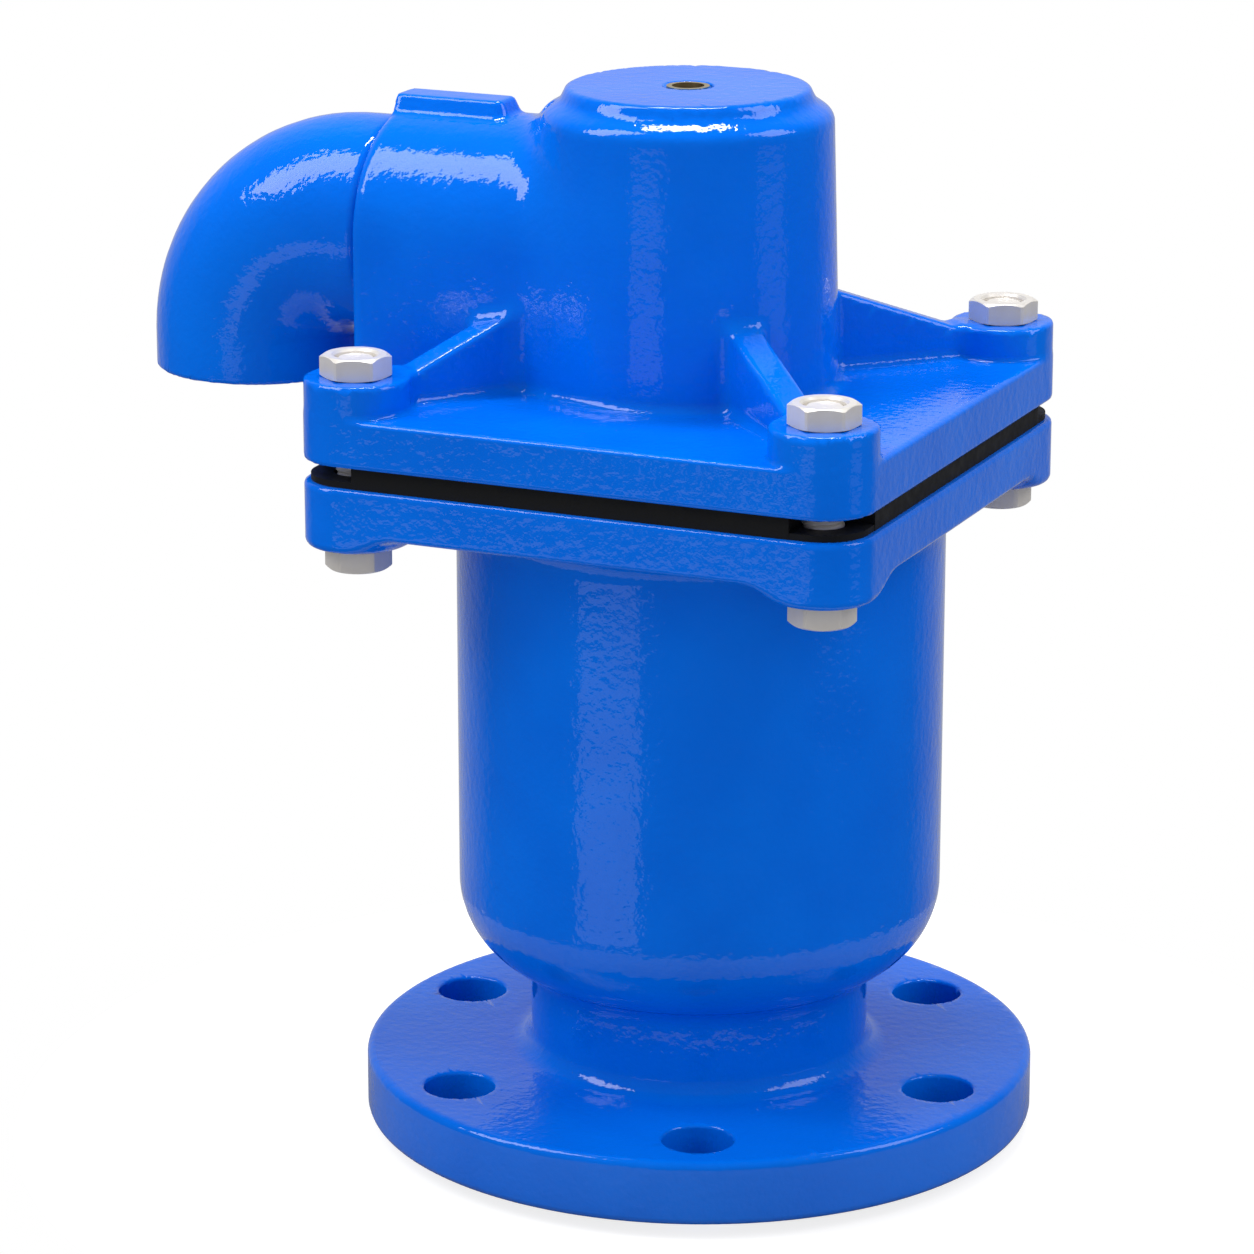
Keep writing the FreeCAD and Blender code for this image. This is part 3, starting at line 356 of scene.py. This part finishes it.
def castMesh(name, field, low, high, pitch, flatness):
    # The casting's skin lies where its field is zero. A grid finds it, each point then slides
    # down the field's gradient onto it, and the same gradient gives the shading normal.
    margin = meshing["marginCells"] * pitch
    reach = meshing["longestMove"] * pitch
    steps = [np.arange(a - margin, b + margin + pitch, pitch) for a, b in zip(low, high)]
    distance = field(*np.meshgrid(*steps, indexing="ij", sparse=True))
    grid = openvdb.FloatGrid(margin)
    grid.copyFromArray(np.clip(distance, -margin, margin).astype(np.float32))
    points, triangles, quads = grid.convertToPolygons(isovalue=0.0, adaptivity=flatness)
    points = points * pitch + [row[0] for row in steps]
    for _ in range(meshing["slides"]):
        uphill = slope(field, points)
        steep = np.maximum((uphill ** 2).sum(1), meshing["leastSlope"])
        move = uphill * (field(*points.T) / steep)[:, None]
        points -= np.clip(move, -reach, reach)
    points = np.clip(points, low, high)
    normals = slope(field, points)
    normals /= np.linalg.norm(normals, axis=1)[:, None] + 1e-9
    return meshPiece(name, points * mm, [triangles, quads], normals)


def meshPiece(name, points, faceSets, normals=None, sharpAngle=None):
    # a mesh object from a point array and arrays of triangles and quads, all facing outwards
    starts, corners, count = [], [], 0
    for faces in faceSets:
        faces = np.asarray(faces)
        if len(faces):
            starts.append(count + np.arange(len(faces)) * faces.shape[1])
            corners.append(faces.ravel())
            count += faces.size
    starts, corners = np.concatenate(starts), np.concatenate(corners)
    mesh = bpy.data.meshes.new(name)
    mesh.vertices.add(len(points))
    mesh.vertices.foreach_set("co", np.asarray(points, np.float32).ravel())
    mesh.loops.add(count)
    mesh.loops.foreach_set("vertex_index", corners.astype(np.int32))
    mesh.polygons.add(len(starts))
    mesh.polygons.foreach_set("loop_start", starts.astype(np.int32))
    mesh.update(calc_edges=True)
    if volume(mesh) < 0:
        mesh.flip_normals()
    mesh.shade_smooth()
    if normals is not None:
        mesh.normals_split_custom_set_from_vertices(normals.tolist())
    if sharpAngle is not None:
        mesh.set_sharp_from_angle(angle=sharpAngle * deg)
    made = bpy.data.objects.new(name, mesh)
    bpy.context.scene.collection.objects.link(made)
    return made


def volume(mesh):
    # signed volume, from the cones between the origin and each triangle
    mesh.calc_loop_triangles()
    points = np.empty(len(mesh.vertices) * 3, np.float32)
    mesh.vertices.foreach_get("co", points)
    corners = np.empty(len(mesh.loop_triangles) * 3, np.int32)
    mesh.loop_triangles.foreach_get("vertices", corners)
    a, b, c = points.reshape(-1, 3)[corners.reshape(-1, 3)].transpose(1, 0, 2)
    return float((a * np.cross(b, c)).sum() / 6)


def place(piece, bodyName, slot, node):
    # the piece rides on its body, takes its slot's finish and stands for the node it replaces
    piece.data.materials.append(materials[slot])
    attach(piece, bodyName)
    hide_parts(node)
    print(piece.name, len(piece.data.polygons), "faces")


# Body casting

body = {
    "flangeRadius": bodyHigh[1], "rimBase": 3.0, "rimTop": 19.0, "rimRound": 2.0,
    "faceRadius": 49.5, "faceEdge": 0.4, "neckRadius": 41.65, "neckFillet": 5.0,
    "bowlRadius": 59.2, "bowlRound": 23.0, "bowlBase": 40.0, "bowlFillet": 4.0,
    "underPlate": 8.0, "lugDrop": 4.0, "lugEdge": 2.8, "lugFlare": 7.0, "edge": 1.2,
    "inletRadius": 25.0, "wall": 7.0, "boreEdge": 0.6,
    "holeCircle": 67.0, "holeRadius": 8.5, "holeTurn": -67.0, "holeCount": 6, "holeEdge": 0.8,
    "pitch": 1.1, "flatness": 0.003,
}


def bodyField(x, y, z):
    r = np.hypot(x, y)
    top = joint["bodyTop"]
    plateBase = top - joint["thick"]
    waist = body["bowlBase"] + 20        # between the flange and the plate
    rim = slab(r - body["flangeRadius"], z, body["rimBase"], body["rimTop"], body["rimRound"])
    face = slab(r - body["faceRadius"], z, 0, body["rimTop"] - 1, body["faceEdge"])
    neck = slab(r - body["neckRadius"], z, body["rimTop"] - 6, waist, sharp)
    cast = roundJoin(np.minimum(rim, face), neck, body["neckFillet"])
    bowl = slab(r - body["bowlRadius"], z, body["bowlBase"], 2 * top, body["bowlRound"])
    cast = roundJoin(cast, np.maximum(bowl, z - plateBase - 3), body["bowlFillet"])
    plate, toBolt = deck(x, y, z, plateBase, top, plateBase - body["lugDrop"],
                         top - body["lugFlare"] - 0.5, body["lugEdge"], body["lugFlare"], body["edge"])
    cast = roundJoin(cast, plate, body["underPlate"])
    chamber = slab(r - body["bowlRadius"] + body["wall"], z, body["bowlBase"] + body["wall"],
                   2 * top, body["bowlRound"] - body["wall"])
    inlet = np.maximum(r - body["inletRadius"], z - waist)
    cast = roundMeet(cast, -np.minimum(chamber, inlet), body["boreEdge"])
    bolts = np.where(z > waist, joint["holeRadius"] - toBolt, noHole)
    cast = roundMeet(cast, bolts, joint["holeEdge"])
    share = 2 * math.pi / body["holeCount"]
    angle = np.arctan2(y, x) - body["holeTurn"] * deg
    angle = angle - share * np.round(angle / share)
    toHole = np.hypot(r * np.cos(angle) - body["holeCircle"], r * np.sin(angle))
    holes = np.where(z < body["rimTop"] + 8, body["holeRadius"] - toHole, noHole)
    return roundMeet(cast, holes, body["holeEdge"])


def makeBody():
    made = castMesh("body_casting", bodyField, bodyLow, bodyHigh, body["pitch"], body["flatness"])
    place(made, "housing", "blue_casting", "valve_body")


# Cover casting

cover = {
    "lugRise": 8.0, "edge": 1.0, "lugEdge": 0.9, "lugFlare": 1.2,
    "hoodRadius": 34.8, "draft": 1.6, "shoulderDrop": 4.3, "shoulderRound": 4.0,
    "crownRadius": 28.9, "crownSpread": 2.0, "crownRound": 0.9, "crownCove": 1.8,
    "pit": (-35.4, -11.0, 253.0), "pitRadius": 1.7, "pitStretch": 1.6, "pitEdge": 0.5,
    "bossRadius": 28.7, "outletRise": 43.9, "bossRound": 3.4, "bossBlend": 7.0,
    "castFillet": 2.8, "ribThick": 8.4, "ribRound": 1.5, "ribFillet": 3.0,
    "ribDip": 0.5,                                   # its ridge's start, below the lug's top
    "ribRise": 20.5, "ribTurn": 45.0,                # the two that brace the hood
    "outletRibRise": 18.0, "outletRibTurn": 54.0,    # the two that brace the boss
    "padCut": 1.1, "padFrom": 1.2, "padLength": 28.0, "padWidth": 9.0,    # at the pad's top
    "padRise": 3.6, "padDraft": 0.45,
    "padCorner": 1.5, "padEdge": 0.8, "padFillet": 1.0,
    "boreRadius": 29.5, "roof": 10.3, "boreRound": 6.0, "outletBore": 19.5, "boreEdge": 0.3,
    "socketRadius": 24.5, "socketDepth": 17.0, "recessRadius": 42.075, "recessDepth": 6.0,
    "bushRadius": 5.2, "bushRecess": 6.0, "bushRecessDepth": 0.8,
    "pitch": 0.9, "flatness": 0.015,
}


def ribField(fromAxis, y, z, plateTop):
    # Four sloping ribs, each from the middle of its lug. On the outlet side they stop in the
    # boss's side wall, and on the other side in the hood.
    outlet = fromAxis < 0
    turn = np.where(outlet, cover["outletRibTurn"], cover["ribTurn"]) * deg
    toHood = joint["spacing"] * math.sqrt(2) - cover["hoodRadius"]
    toBoss = (joint["spacing"] - cover["bossRadius"]) / math.sin(cover["outletRibTurn"] * deg)
    run = np.where(outlet, toBoss, toHood)
    high = plateTop + np.where(outlet, cover["outletRibRise"], cover["ribRise"])
    dx, dy = joint["spacing"] - np.abs(fromAxis), joint["spacing"] - np.abs(y)
    along = dx * np.cos(turn) + dy * np.sin(turn)
    aside = np.abs(dx * np.sin(turn) - dy * np.cos(turn))
    climb = (high - plateTop - cover["lugRise"] + cover["ribDip"]) / (run - joint["corner"])
    ridge = (z - high + climb * (run - along)) / np.hypot(1, climb)
    ridge = np.maximum(np.maximum(ridge, -along), along - run - 6)
    rib = roundMeet(aside - cover["ribThick"] / 2, ridge, cover["ribRound"])
    return np.maximum(rib, plateTop - 5 - z)


def coverField(x, y, z):
    fromAxis = x - joint["axisX"]
    r = np.hypot(fromAxis, y)
    base, top = joint["coverBase"], coverHigh[2]
    plateTop = base + joint["thick"]
    shoulder = top - cover["shoulderDrop"]
    axisZ = base + cover["outletRise"]
    plate, toBolt = deck(x, y, z, base, plateTop, base + cover["lugFlare"] + 0.5,
                         plateTop + cover["lugRise"], cover["lugEdge"], cover["lugFlare"],
                         cover["edge"])
    lean = math.tan(cover["draft"] * deg)
    wall = r - cover["hoodRadius"] - lean * (shoulder - cover["shoulderRound"] - z)
    hood = roundMeet(wall * math.cos(cover["draft"] * deg), z - shoulder, cover["shoulderRound"])
    spreadOut = cover["crownSpread"] / cover["shoulderDrop"]
    slant = math.cos(math.atan(spreadOut))
    crown = r - cover["crownRadius"] - spreadOut * (top - np.maximum(z, shoulder - 0.5))
    crown = np.maximum(roundMeet(crown * slant, z - top, cover["crownRound"]), shoulder - 6 - z)
    hood = roundJoin(hood, crown, cover["crownCove"])
    across = np.where(z > axisZ, np.hypot(y, z - axisZ), np.abs(y))
    boss = roundMeet(across - cover["bossRadius"], coverLow[0] - x, cover["bossRound"])
    boss = np.maximum(np.maximum(boss, fromAxis), plateTop - 3 - z)
    hood = roundJoin(hood, boss, cover["bossBlend"])
    padTop = axisZ + cover["bossRadius"] + cover["padRise"]
    padX = x - coverLow[0] - cover["padFrom"] - cover["padLength"] / 2
    pad = square(padX, y, cover["padLength"] / 2, cover["padWidth"] / 2, cover["padCorner"])
    pad = 0.91 * (pad - cover["padDraft"] * (padTop - z))    # 0.91 is the cosine of its draft
    pad = np.maximum(roundMeet(pad, z - padTop, cover["padEdge"]), axisZ + 20 - z)
    pad = np.maximum(pad, coverLow[0] + cover["padCut"] - x)
    hood = roundJoin(hood, pad, cover["padFillet"])
    hood = np.maximum(hood, plateTop - 5 - z)
    cast = roundJoin(plate, hood, cover["castFillet"])
    cast = roundJoin(cast, ribField(fromAxis, y, z, plateTop), cover["ribFillet"])
    bore = slab(r - cover["boreRadius"], z, base - 40, top - cover["roof"], cover["boreRound"])
    recess = np.maximum(r - cover["recessRadius"], z - base - cover["recessDepth"])
    bush = np.minimum(r - cover["bushRadius"],
                      np.maximum(r - cover["bushRecess"], top - cover["bushRecessDepth"] - z))
    port = np.hypot(y, z - axisZ)
    outlet = np.minimum(np.maximum(port - cover["outletBore"], fromAxis),
                        np.maximum(port - cover["socketRadius"],
                                   x - coverLow[0] - cover["socketDepth"]))
    hollow = np.minimum(np.minimum(bore, recess), np.minimum(bush, outlet))
    cast = roundMeet(cast, -hollow, cover["boreEdge"])
    pitX, pitY, pitZ = cover["pit"]
    pit = np.sqrt((x - pitX) ** 2 + ((y - pitY) / cover["pitStretch"]) ** 2 + (z - pitZ) ** 2)
    cast = roundMeet(cast, cover["pitRadius"] - pit, cover["pitEdge"])
    return roundMeet(cast, joint["holeRadius"] - toBolt, joint["holeEdge"])


def makeCover():
    made = castMesh("cover_casting", coverField, coverLow, coverHigh,
                    cover["pitch"], cover["flatness"])
    place(made, "housing", "blue_casting", "cover")


# Outlet elbow

elbow = {
    "radius": elbowHigh[1], "bend": 30.4, "run": 9.2, "edge": 2.2, "mouthEdge": 0.9, "bore": 19.5,
    "spigotRadius": 24.45, "spigotRoot": 9.0,
    "grooveFrom": 8.0, "grooveWidth": 3.0, "grooveDepth": 2.0,
    "recessRadius": 22.0, "recessDepth": 9.0, "clipRadius": 23.2, "clipWidth": 1.55,
    "clipBelow": 1.0, "boreEdge": 0.4,
    "pitch": 0.9, "flatness": 0.01,
}


def elbowField(x, y, z):
    seam = coverLow[0]
    mouth = elbowLow[2]
    axisZ = joint["coverBase"] + cover["outletRise"]
    bendX = seam - elbow["run"]
    legX = bendX - elbow["bend"]
    bendZ = axisZ - elbow["bend"]
    turn = np.hypot(x - bendX, z - bendZ) - elbow["bend"]
    off = np.where(x > bendX, z - axisZ, np.where(z < bendZ, x - legX, turn))
    tube = np.hypot(y, off)
    outer = roundMeet(tube - elbow["radius"], x - seam, elbow["edge"])
    outer = roundMeet(outer, mouth - z, elbow["mouthEdge"])
    fromAxis = np.hypot(y, z - axisZ)
    spigot = np.maximum(fromAxis - elbow["spigotRadius"],
                        np.maximum(x - elbowHigh[0], seam - elbow["spigotRoot"] - x))
    groove = np.maximum(elbow["spigotRadius"] - elbow["grooveDepth"] - fromAxis,
                        np.abs(x - seam - elbow["grooveFrom"] - elbow["grooveWidth"] / 2)
                        - elbow["grooveWidth"] / 2)
    spigot = np.maximum(spigot, -groove)
    leg = np.hypot(y, x - legX)
    screenTop = mouth + elbow["recessDepth"]
    recess = np.maximum(leg - elbow["recessRadius"], z - screenTop)
    clipTop = screenTop - elbow["clipBelow"]
    clip = np.maximum(leg - elbow["clipRadius"],
                      np.abs(z - clipTop + elbow["clipWidth"] / 2) - elbow["clipWidth"] / 2)
    hollow = np.minimum(tube - elbow["bore"], np.minimum(recess, clip))
    return roundMeet(np.minimum(outer, spigot), -hollow, elbow["boreEdge"])


def makeElbow():
    made = castMesh("elbow_casting", elbowField, elbowLow, elbowHigh,
                    elbow["pitch"], elbow["flatness"])
    place(made, "housing", "blue_casting", "outlet_elbow")


# Bolts and nuts

fastener = {
    "headFlats": 14.0, "headHeight": 6.4, "headEdge": 0.15, "nutFlats": 15.0,
    "faceShare": 0.97,                   # the flat round face, as a share of the width over flats
    "chamfer": 30.0, "cornerBlunt": 0.12,
    "threadFrom": 12.0, "threadDepth": 0.55, "endChamfer": 1.1,
    "nutGap": 0.05, "nutLeadBelow": 0.55, "nutLeadAbove": 0.6,
    "flankSlope": 1.25, "crestShare": 0.12,
    "columns": 72, "rowsPerPitch": 6,
    "boltSharp": 28, "nutSharp": 22,     # degrees from which an edge is shaded sharp
}
around = np.arange(fastener["columns"]) * 2 * math.pi / fastener["columns"]


def hexagon(flats):
    # radii round a turned hexagon with slightly blunt corners, and round the flat face inside it
    within = np.mod(around - joint["hexTurn"] * deg, math.pi / 3) - math.pi / 6
    pointed = flats / 2 / np.cos(within)
    corner = np.minimum(pointed, flats / 2 / math.cos(30 * deg) - fastener["cornerBlunt"])
    return corner, np.full(len(around), flats / 2 * fastener["faceShare"])


def turnedSkin(radius, height, x, y, ring):
    # Rows of radii and heights carried round an upright axis. A ring joins its last row to its
    # first, and any other piece is closed by a point at each end.
    rows, columns = radius.shape
    points = np.stack((x + radius * np.cos(around), y + radius * np.sin(around), height), -1)
    index = np.arange(rows * columns).reshape(rows, columns)
    nextColumn = np.roll(index, -1, 1)
    below, above = (index, np.roll(index, -1, 0)) if ring else (index[:-1], index[1:])
    belowNext, aboveNext = (nextColumn, np.roll(nextColumn, -1, 0)) if ring else \
        (nextColumn[:-1], nextColumn[1:])
    quads = np.stack((below, belowNext, aboveNext, above), -1).reshape(-1, 4)
    points = points.reshape(-1, 3)
    if ring:
        return points, quads, np.empty((0, 3), int)
    ends = np.array(((x, y, height[0].mean()), (x, y, height[-1].mean())))
    first = len(points)
    low = np.stack((np.full(columns, first), nextColumn[0], index[0]), -1)
    high = np.stack((np.full(columns, first + 1), index[-1], nextColumn[-1]), -1)
    return np.vstack((points, ends)), quads, np.vstack((low, high))


def fourOf(name, makeOne, sharpAngle):
    # the same skin at each corner of the joint, in one mesh
    points, quads, triangles, count = [], [], [], 0
    for sideX in (-1, 1):
        for sideY in (-1, 1):
            x = joint["axisX"] + sideX * joint["spacing"]
            y = sideY * joint["spacing"]
            p, q, t = makeOne(x, y)
            points.append(p)
            quads.append(q + count)
            triangles.append(t + count)
            count += len(p)
    return meshPiece(name, np.vstack(points) * mm,
                     [np.vstack(triangles), np.vstack(quads)], sharpAngle=sharpAngle)


def chamferRow(corner, flat, share, level, lean):
    # a row part of the way from the flat face to the corners, where the face falls back
    radius = flat + (corner - flat) * share
    fall = np.maximum(radius - flat, 0) * math.tan(fastener["chamfer"] * deg)
    return radius, level + lean * fall


def stack(rows):
    # rows of (radius, height), each one number or one for every column, to two arrays
    return [np.vstack([np.broadcast_to(row[i], len(around)) for row in rows]) for i in (0, 1)]


def threadRows(start, end):
    # a right-hand thread, from just above a level to the bolt's chamfered end
    step = joint["threadPitch"] / fastener["rowsPerPitch"]
    levels = np.arange(start + step, end + step / 2, step)
    phase = levels[:, None] / joint["threadPitch"] - around / (2 * math.pi)
    flank = np.abs(2 * (phase - np.floor(phase)) - 1)
    # the steeper flank leaves a flat crest and a flat root
    depth = np.clip(fastener["flankSlope"] * flank - fastener["crestShare"], 0, 1)
    radius = joint["boltRadius"] - fastener["threadDepth"] * depth
    limit = joint["boltRadius"] - np.maximum(levels - end + fastener["endChamfer"], 0)
    return list(zip(np.minimum(radius, limit[:, None]), levels))


def boltSkin(x, y):
    corner, flat = hexagon(fastener["headFlats"])
    low, seat, end = boltLow[2], boltLow[2] + fastener["headHeight"], boltHigh[2]
    shank, edge = joint["boltRadius"], fastener["headEdge"]
    # both end faces have a row halfway in, so that their triangles stay short
    rows = [(flat * 0.5, low), (flat, low)]
    rows += [chamferRow(corner, flat, share, low, 1) for share in (0.5, 1.0)]
    rows += [(corner, seat - edge), (corner - edge, seat), (shank, seat),
             (shank, seat + fastener["threadFrom"])]
    rows += threadRows(seat + fastener["threadFrom"], end)
    rows.append((rows[-1][0] * 0.5, end))
    return turnedSkin(*stack(rows), x, y, False)


def nutSkin(x, y):
    corner, flat = hexagon(fastener["nutFlats"])
    low, top = nutLow[2], nutHigh[2]
    bore = joint["boltRadius"] + fastener["nutGap"]
    below, above = fastener["nutLeadBelow"], fastener["nutLeadAbove"]
    rows = [(bore + below, low), (bore, low + below), (bore, top - above), (bore + above, top),
            (flat, top)]
    rows += [chamferRow(corner, flat, share, top, -1) for share in (0.5, 1.0)]
    rows += [chamferRow(corner, flat, share, low, 0.5) for share in (1.0, 0.5)]
    rows.append((flat, low))
    return turnedSkin(*stack(rows), x, y, True)


def makeFasteners():
    bolts = fourOf("hexagon_bolts", boltSkin, fastener["boltSharp"])
    place(bolts, "housing", "stainless", "joint_bolts")
    nuts = fourOf("hexagon_nuts", nutSkin, fastener["nutSharp"])
    place(nuts, "housing", "stainless", "joint_nuts")


# Floor, background and lights

studio = {
    # the card: radius in metres, the share of it where the rim's fade starts, mm under the flange
    "paper": {"radius": 0.17, "fadeFrom": 0.7, "below": 0.3, "sides": 128,
              "colour": "#9A9A9A", "glow": 0.8},
    # each softbox: degrees to the right of the camera, degrees above the table, metres
    "lamps": {
        "top": {"turn": 180, "rise": 80, "away": 1.5, "size": (0.75, 0.22), "glow": 27.0},
        "left": {"turn": -84, "rise": 48, "away": 1.7, "size": (0.6, 1.25), "glow": 5.2},
        "right": {"turn": 82, "rise": 42, "away": 1.7, "size": (0.8, 0.9), "glow": 3.0},
        "strip": {"turn": -44, "rise": -20.5, "away": 1.9, "size": (0.95, 0.34), "glow": 0.6},
        "stripHigh": {"turn": -32, "rise": -8.5, "away": 1.9, "size": (0.78, 0.26), "glow": 0.4},
        "stripRight": {"turn": 67, "rise": -9, "away": 1.9, "size": (0.8, 0.3), "glow": 0.25},
    },
    "aim": (-0.01, 0.0, 0.14),
    # The world. Each range of directions, -1 to 1, has the range of strength that goes with it:
    # what gloss shows, from the camera's side to behind the valve; the soft light on all else,
    # from below upwards; and what that light lacks, again towards behind the valve.
    "gloss": ((0.45, 0.97), (0.05, 0.5)),
    "soft": ((-0.9, 0.5), (0.6, 0.85)),
    "less": ((-0.3, 0.8), (0.0, 0.35)),
}


def areaLight(name, row):
    # a softbox that faces the valve; its power follows from how bright its face is
    data = bpy.data.lights.new(name, "AREA")
    data.shape = "RECTANGLE"
    data.size, data.size_y = row["size"]
    data.energy = row["glow"] * math.pi * data.size * data.size_y
    made = bpy.data.objects.new(name + "_lamp", data)
    heading = camera["heading"] * deg - math.pi / 2 + row["turn"] * deg
    rise = row["rise"] * deg
    back = np.array((math.cos(heading) * math.cos(rise), math.sin(heading) * math.cos(rise),
                     math.sin(rise)))
    side = np.cross((0, 0, 1), back)
    side /= np.linalg.norm(side)
    turned = np.eye(4)
    turned[:3, 0], turned[:3, 1], turned[:3, 2] = side, np.cross(back, side), back
    turned[:3, 3] = np.array(studio["aim"]) + row["away"] * back
    made.matrix_world = Matrix(turned.tolist())
    made.visible_camera = False
    bpy.context.scene.collection.objects.link(made)


def makeBackdrop():
    # White to the camera. Gloss and metal show a brighter wall behind the valve than on the
    # camera's side, and the soft light grows upwards and is weaker from behind.
    world = bpy.data.worlds.new("studio")
    bpy.context.scene.world = world
    world.use_nodes = True
    tree = world.node_tree
    tree.nodes.clear()
    way = addNode(tree, "TexCoord").outputs["Generated"]
    heading = camera["heading"] * deg
    along = addNode(tree, "VectorMath", {0: way, 1: (-math.sin(heading), math.cos(heading), 0)},
                    operation="DOT_PRODUCT").outputs["Value"]
    gloss = spread(tree, along, *studio["gloss"])
    height = addNode(tree, "SeparateXYZ", {"Vector": way}).outputs["Z"]
    soft = addNode(tree, "Math", {
        0: spread(tree, height, *studio["soft"]), 1: spread(tree, along, *studio["less"]),
    }, operation="SUBTRACT").outputs[0]
    rays = addNode(tree, "LightPath").outputs
    shown = addNode(tree, "Math", {0: rays["Is Glossy Ray"], 1: rays["Is Transmission Ray"]},
                    operation="MAXIMUM").outputs[0]
    light = mixValues(tree, shown, soft, gloss)
    light = mixValues(tree, rays["Is Camera Ray"], light, 1.0)
    sky = addNode(tree, "Background", {"Color": (1, 1, 1, 1), "Strength": light})
    addNode(tree, "OutputWorld", {"Surface": sky.outputs["Background"]})


def mixValues(tree, share, first, second):
    mixed = addNode(tree, "Mix", {0: share, 2: first, 3: second}, data_type="FLOAT")
    return mixed.outputs[0]


def makeTable():
    # a round of pale card under the flange, which keeps its shadow and is white to the camera
    row = studio["paper"]
    angle = np.linspace(0, 2 * math.pi, row["sides"], endpoint=False)
    points = np.stack((np.cos(angle), np.sin(angle), 0 * angle), -1) * row["radius"]
    points[:, 2] = -row["below"] * mm
    mesh = bpy.data.meshes.new("card")
    mesh.from_pydata(points.tolist(), [], [list(range(len(points)))])
    made = bpy.data.objects.new("card", mesh)
    bpy.context.scene.collection.objects.link(made)
    paper, tree, spot = newMaterial("matCard")
    matt = addNode(tree, "BsdfDiffuse", {"Color": linear(row["colour"])})
    away = addNode(tree, "VectorMath", {0: spot}, operation="LENGTH").outputs["Value"]
    fade = (row["fadeFrom"] * row["radius"], row["radius"])
    edge = spread(tree, away, fade, (row["glow"], 1.0))
    rays = addNode(tree, "LightPath").outputs
    seen = addNode(tree, "Math", {0: rays["Is Camera Ray"], 1: rays["Is Transmission Ray"]},
                   operation="MAXIMUM").outputs[0]
    glow = addNode(tree, "Emission", {"Color": (1, 1, 1, 1), "Strength": addNode(
        tree, "Math", {0: seen, 1: edge}, operation="MULTIPLY").outputs[0]})
    both = addNode(tree, "AddShader", {0: matt.outputs[0], 1: glow.outputs[0]})
    # seen from below it is clear, so that the flange's face shows
    under = addNode(tree, "NewGeometry").outputs["Backfacing"]
    clear = addNode(tree, "BsdfTransparent")
    whole = addNode(tree, "MixShader", {0: under, 1: both.outputs[0], 2: clear.outputs[0]})
    addNode(tree, "OutputMaterial", {"Surface": whole.outputs[0]})
    mesh.materials.append(paper)


def makeStudio():
    makeBackdrop()
    makeTable()
    for name, row in studio["lamps"].items():
        areaLight(name, row)
    bpy.context.scene.view_settings.view_transform = "Standard"


makeCamera()
makeStudio()
dressNodes()
makeBody()
makeCover()
makeElbow()
makeFasteners()
print("pieces made")
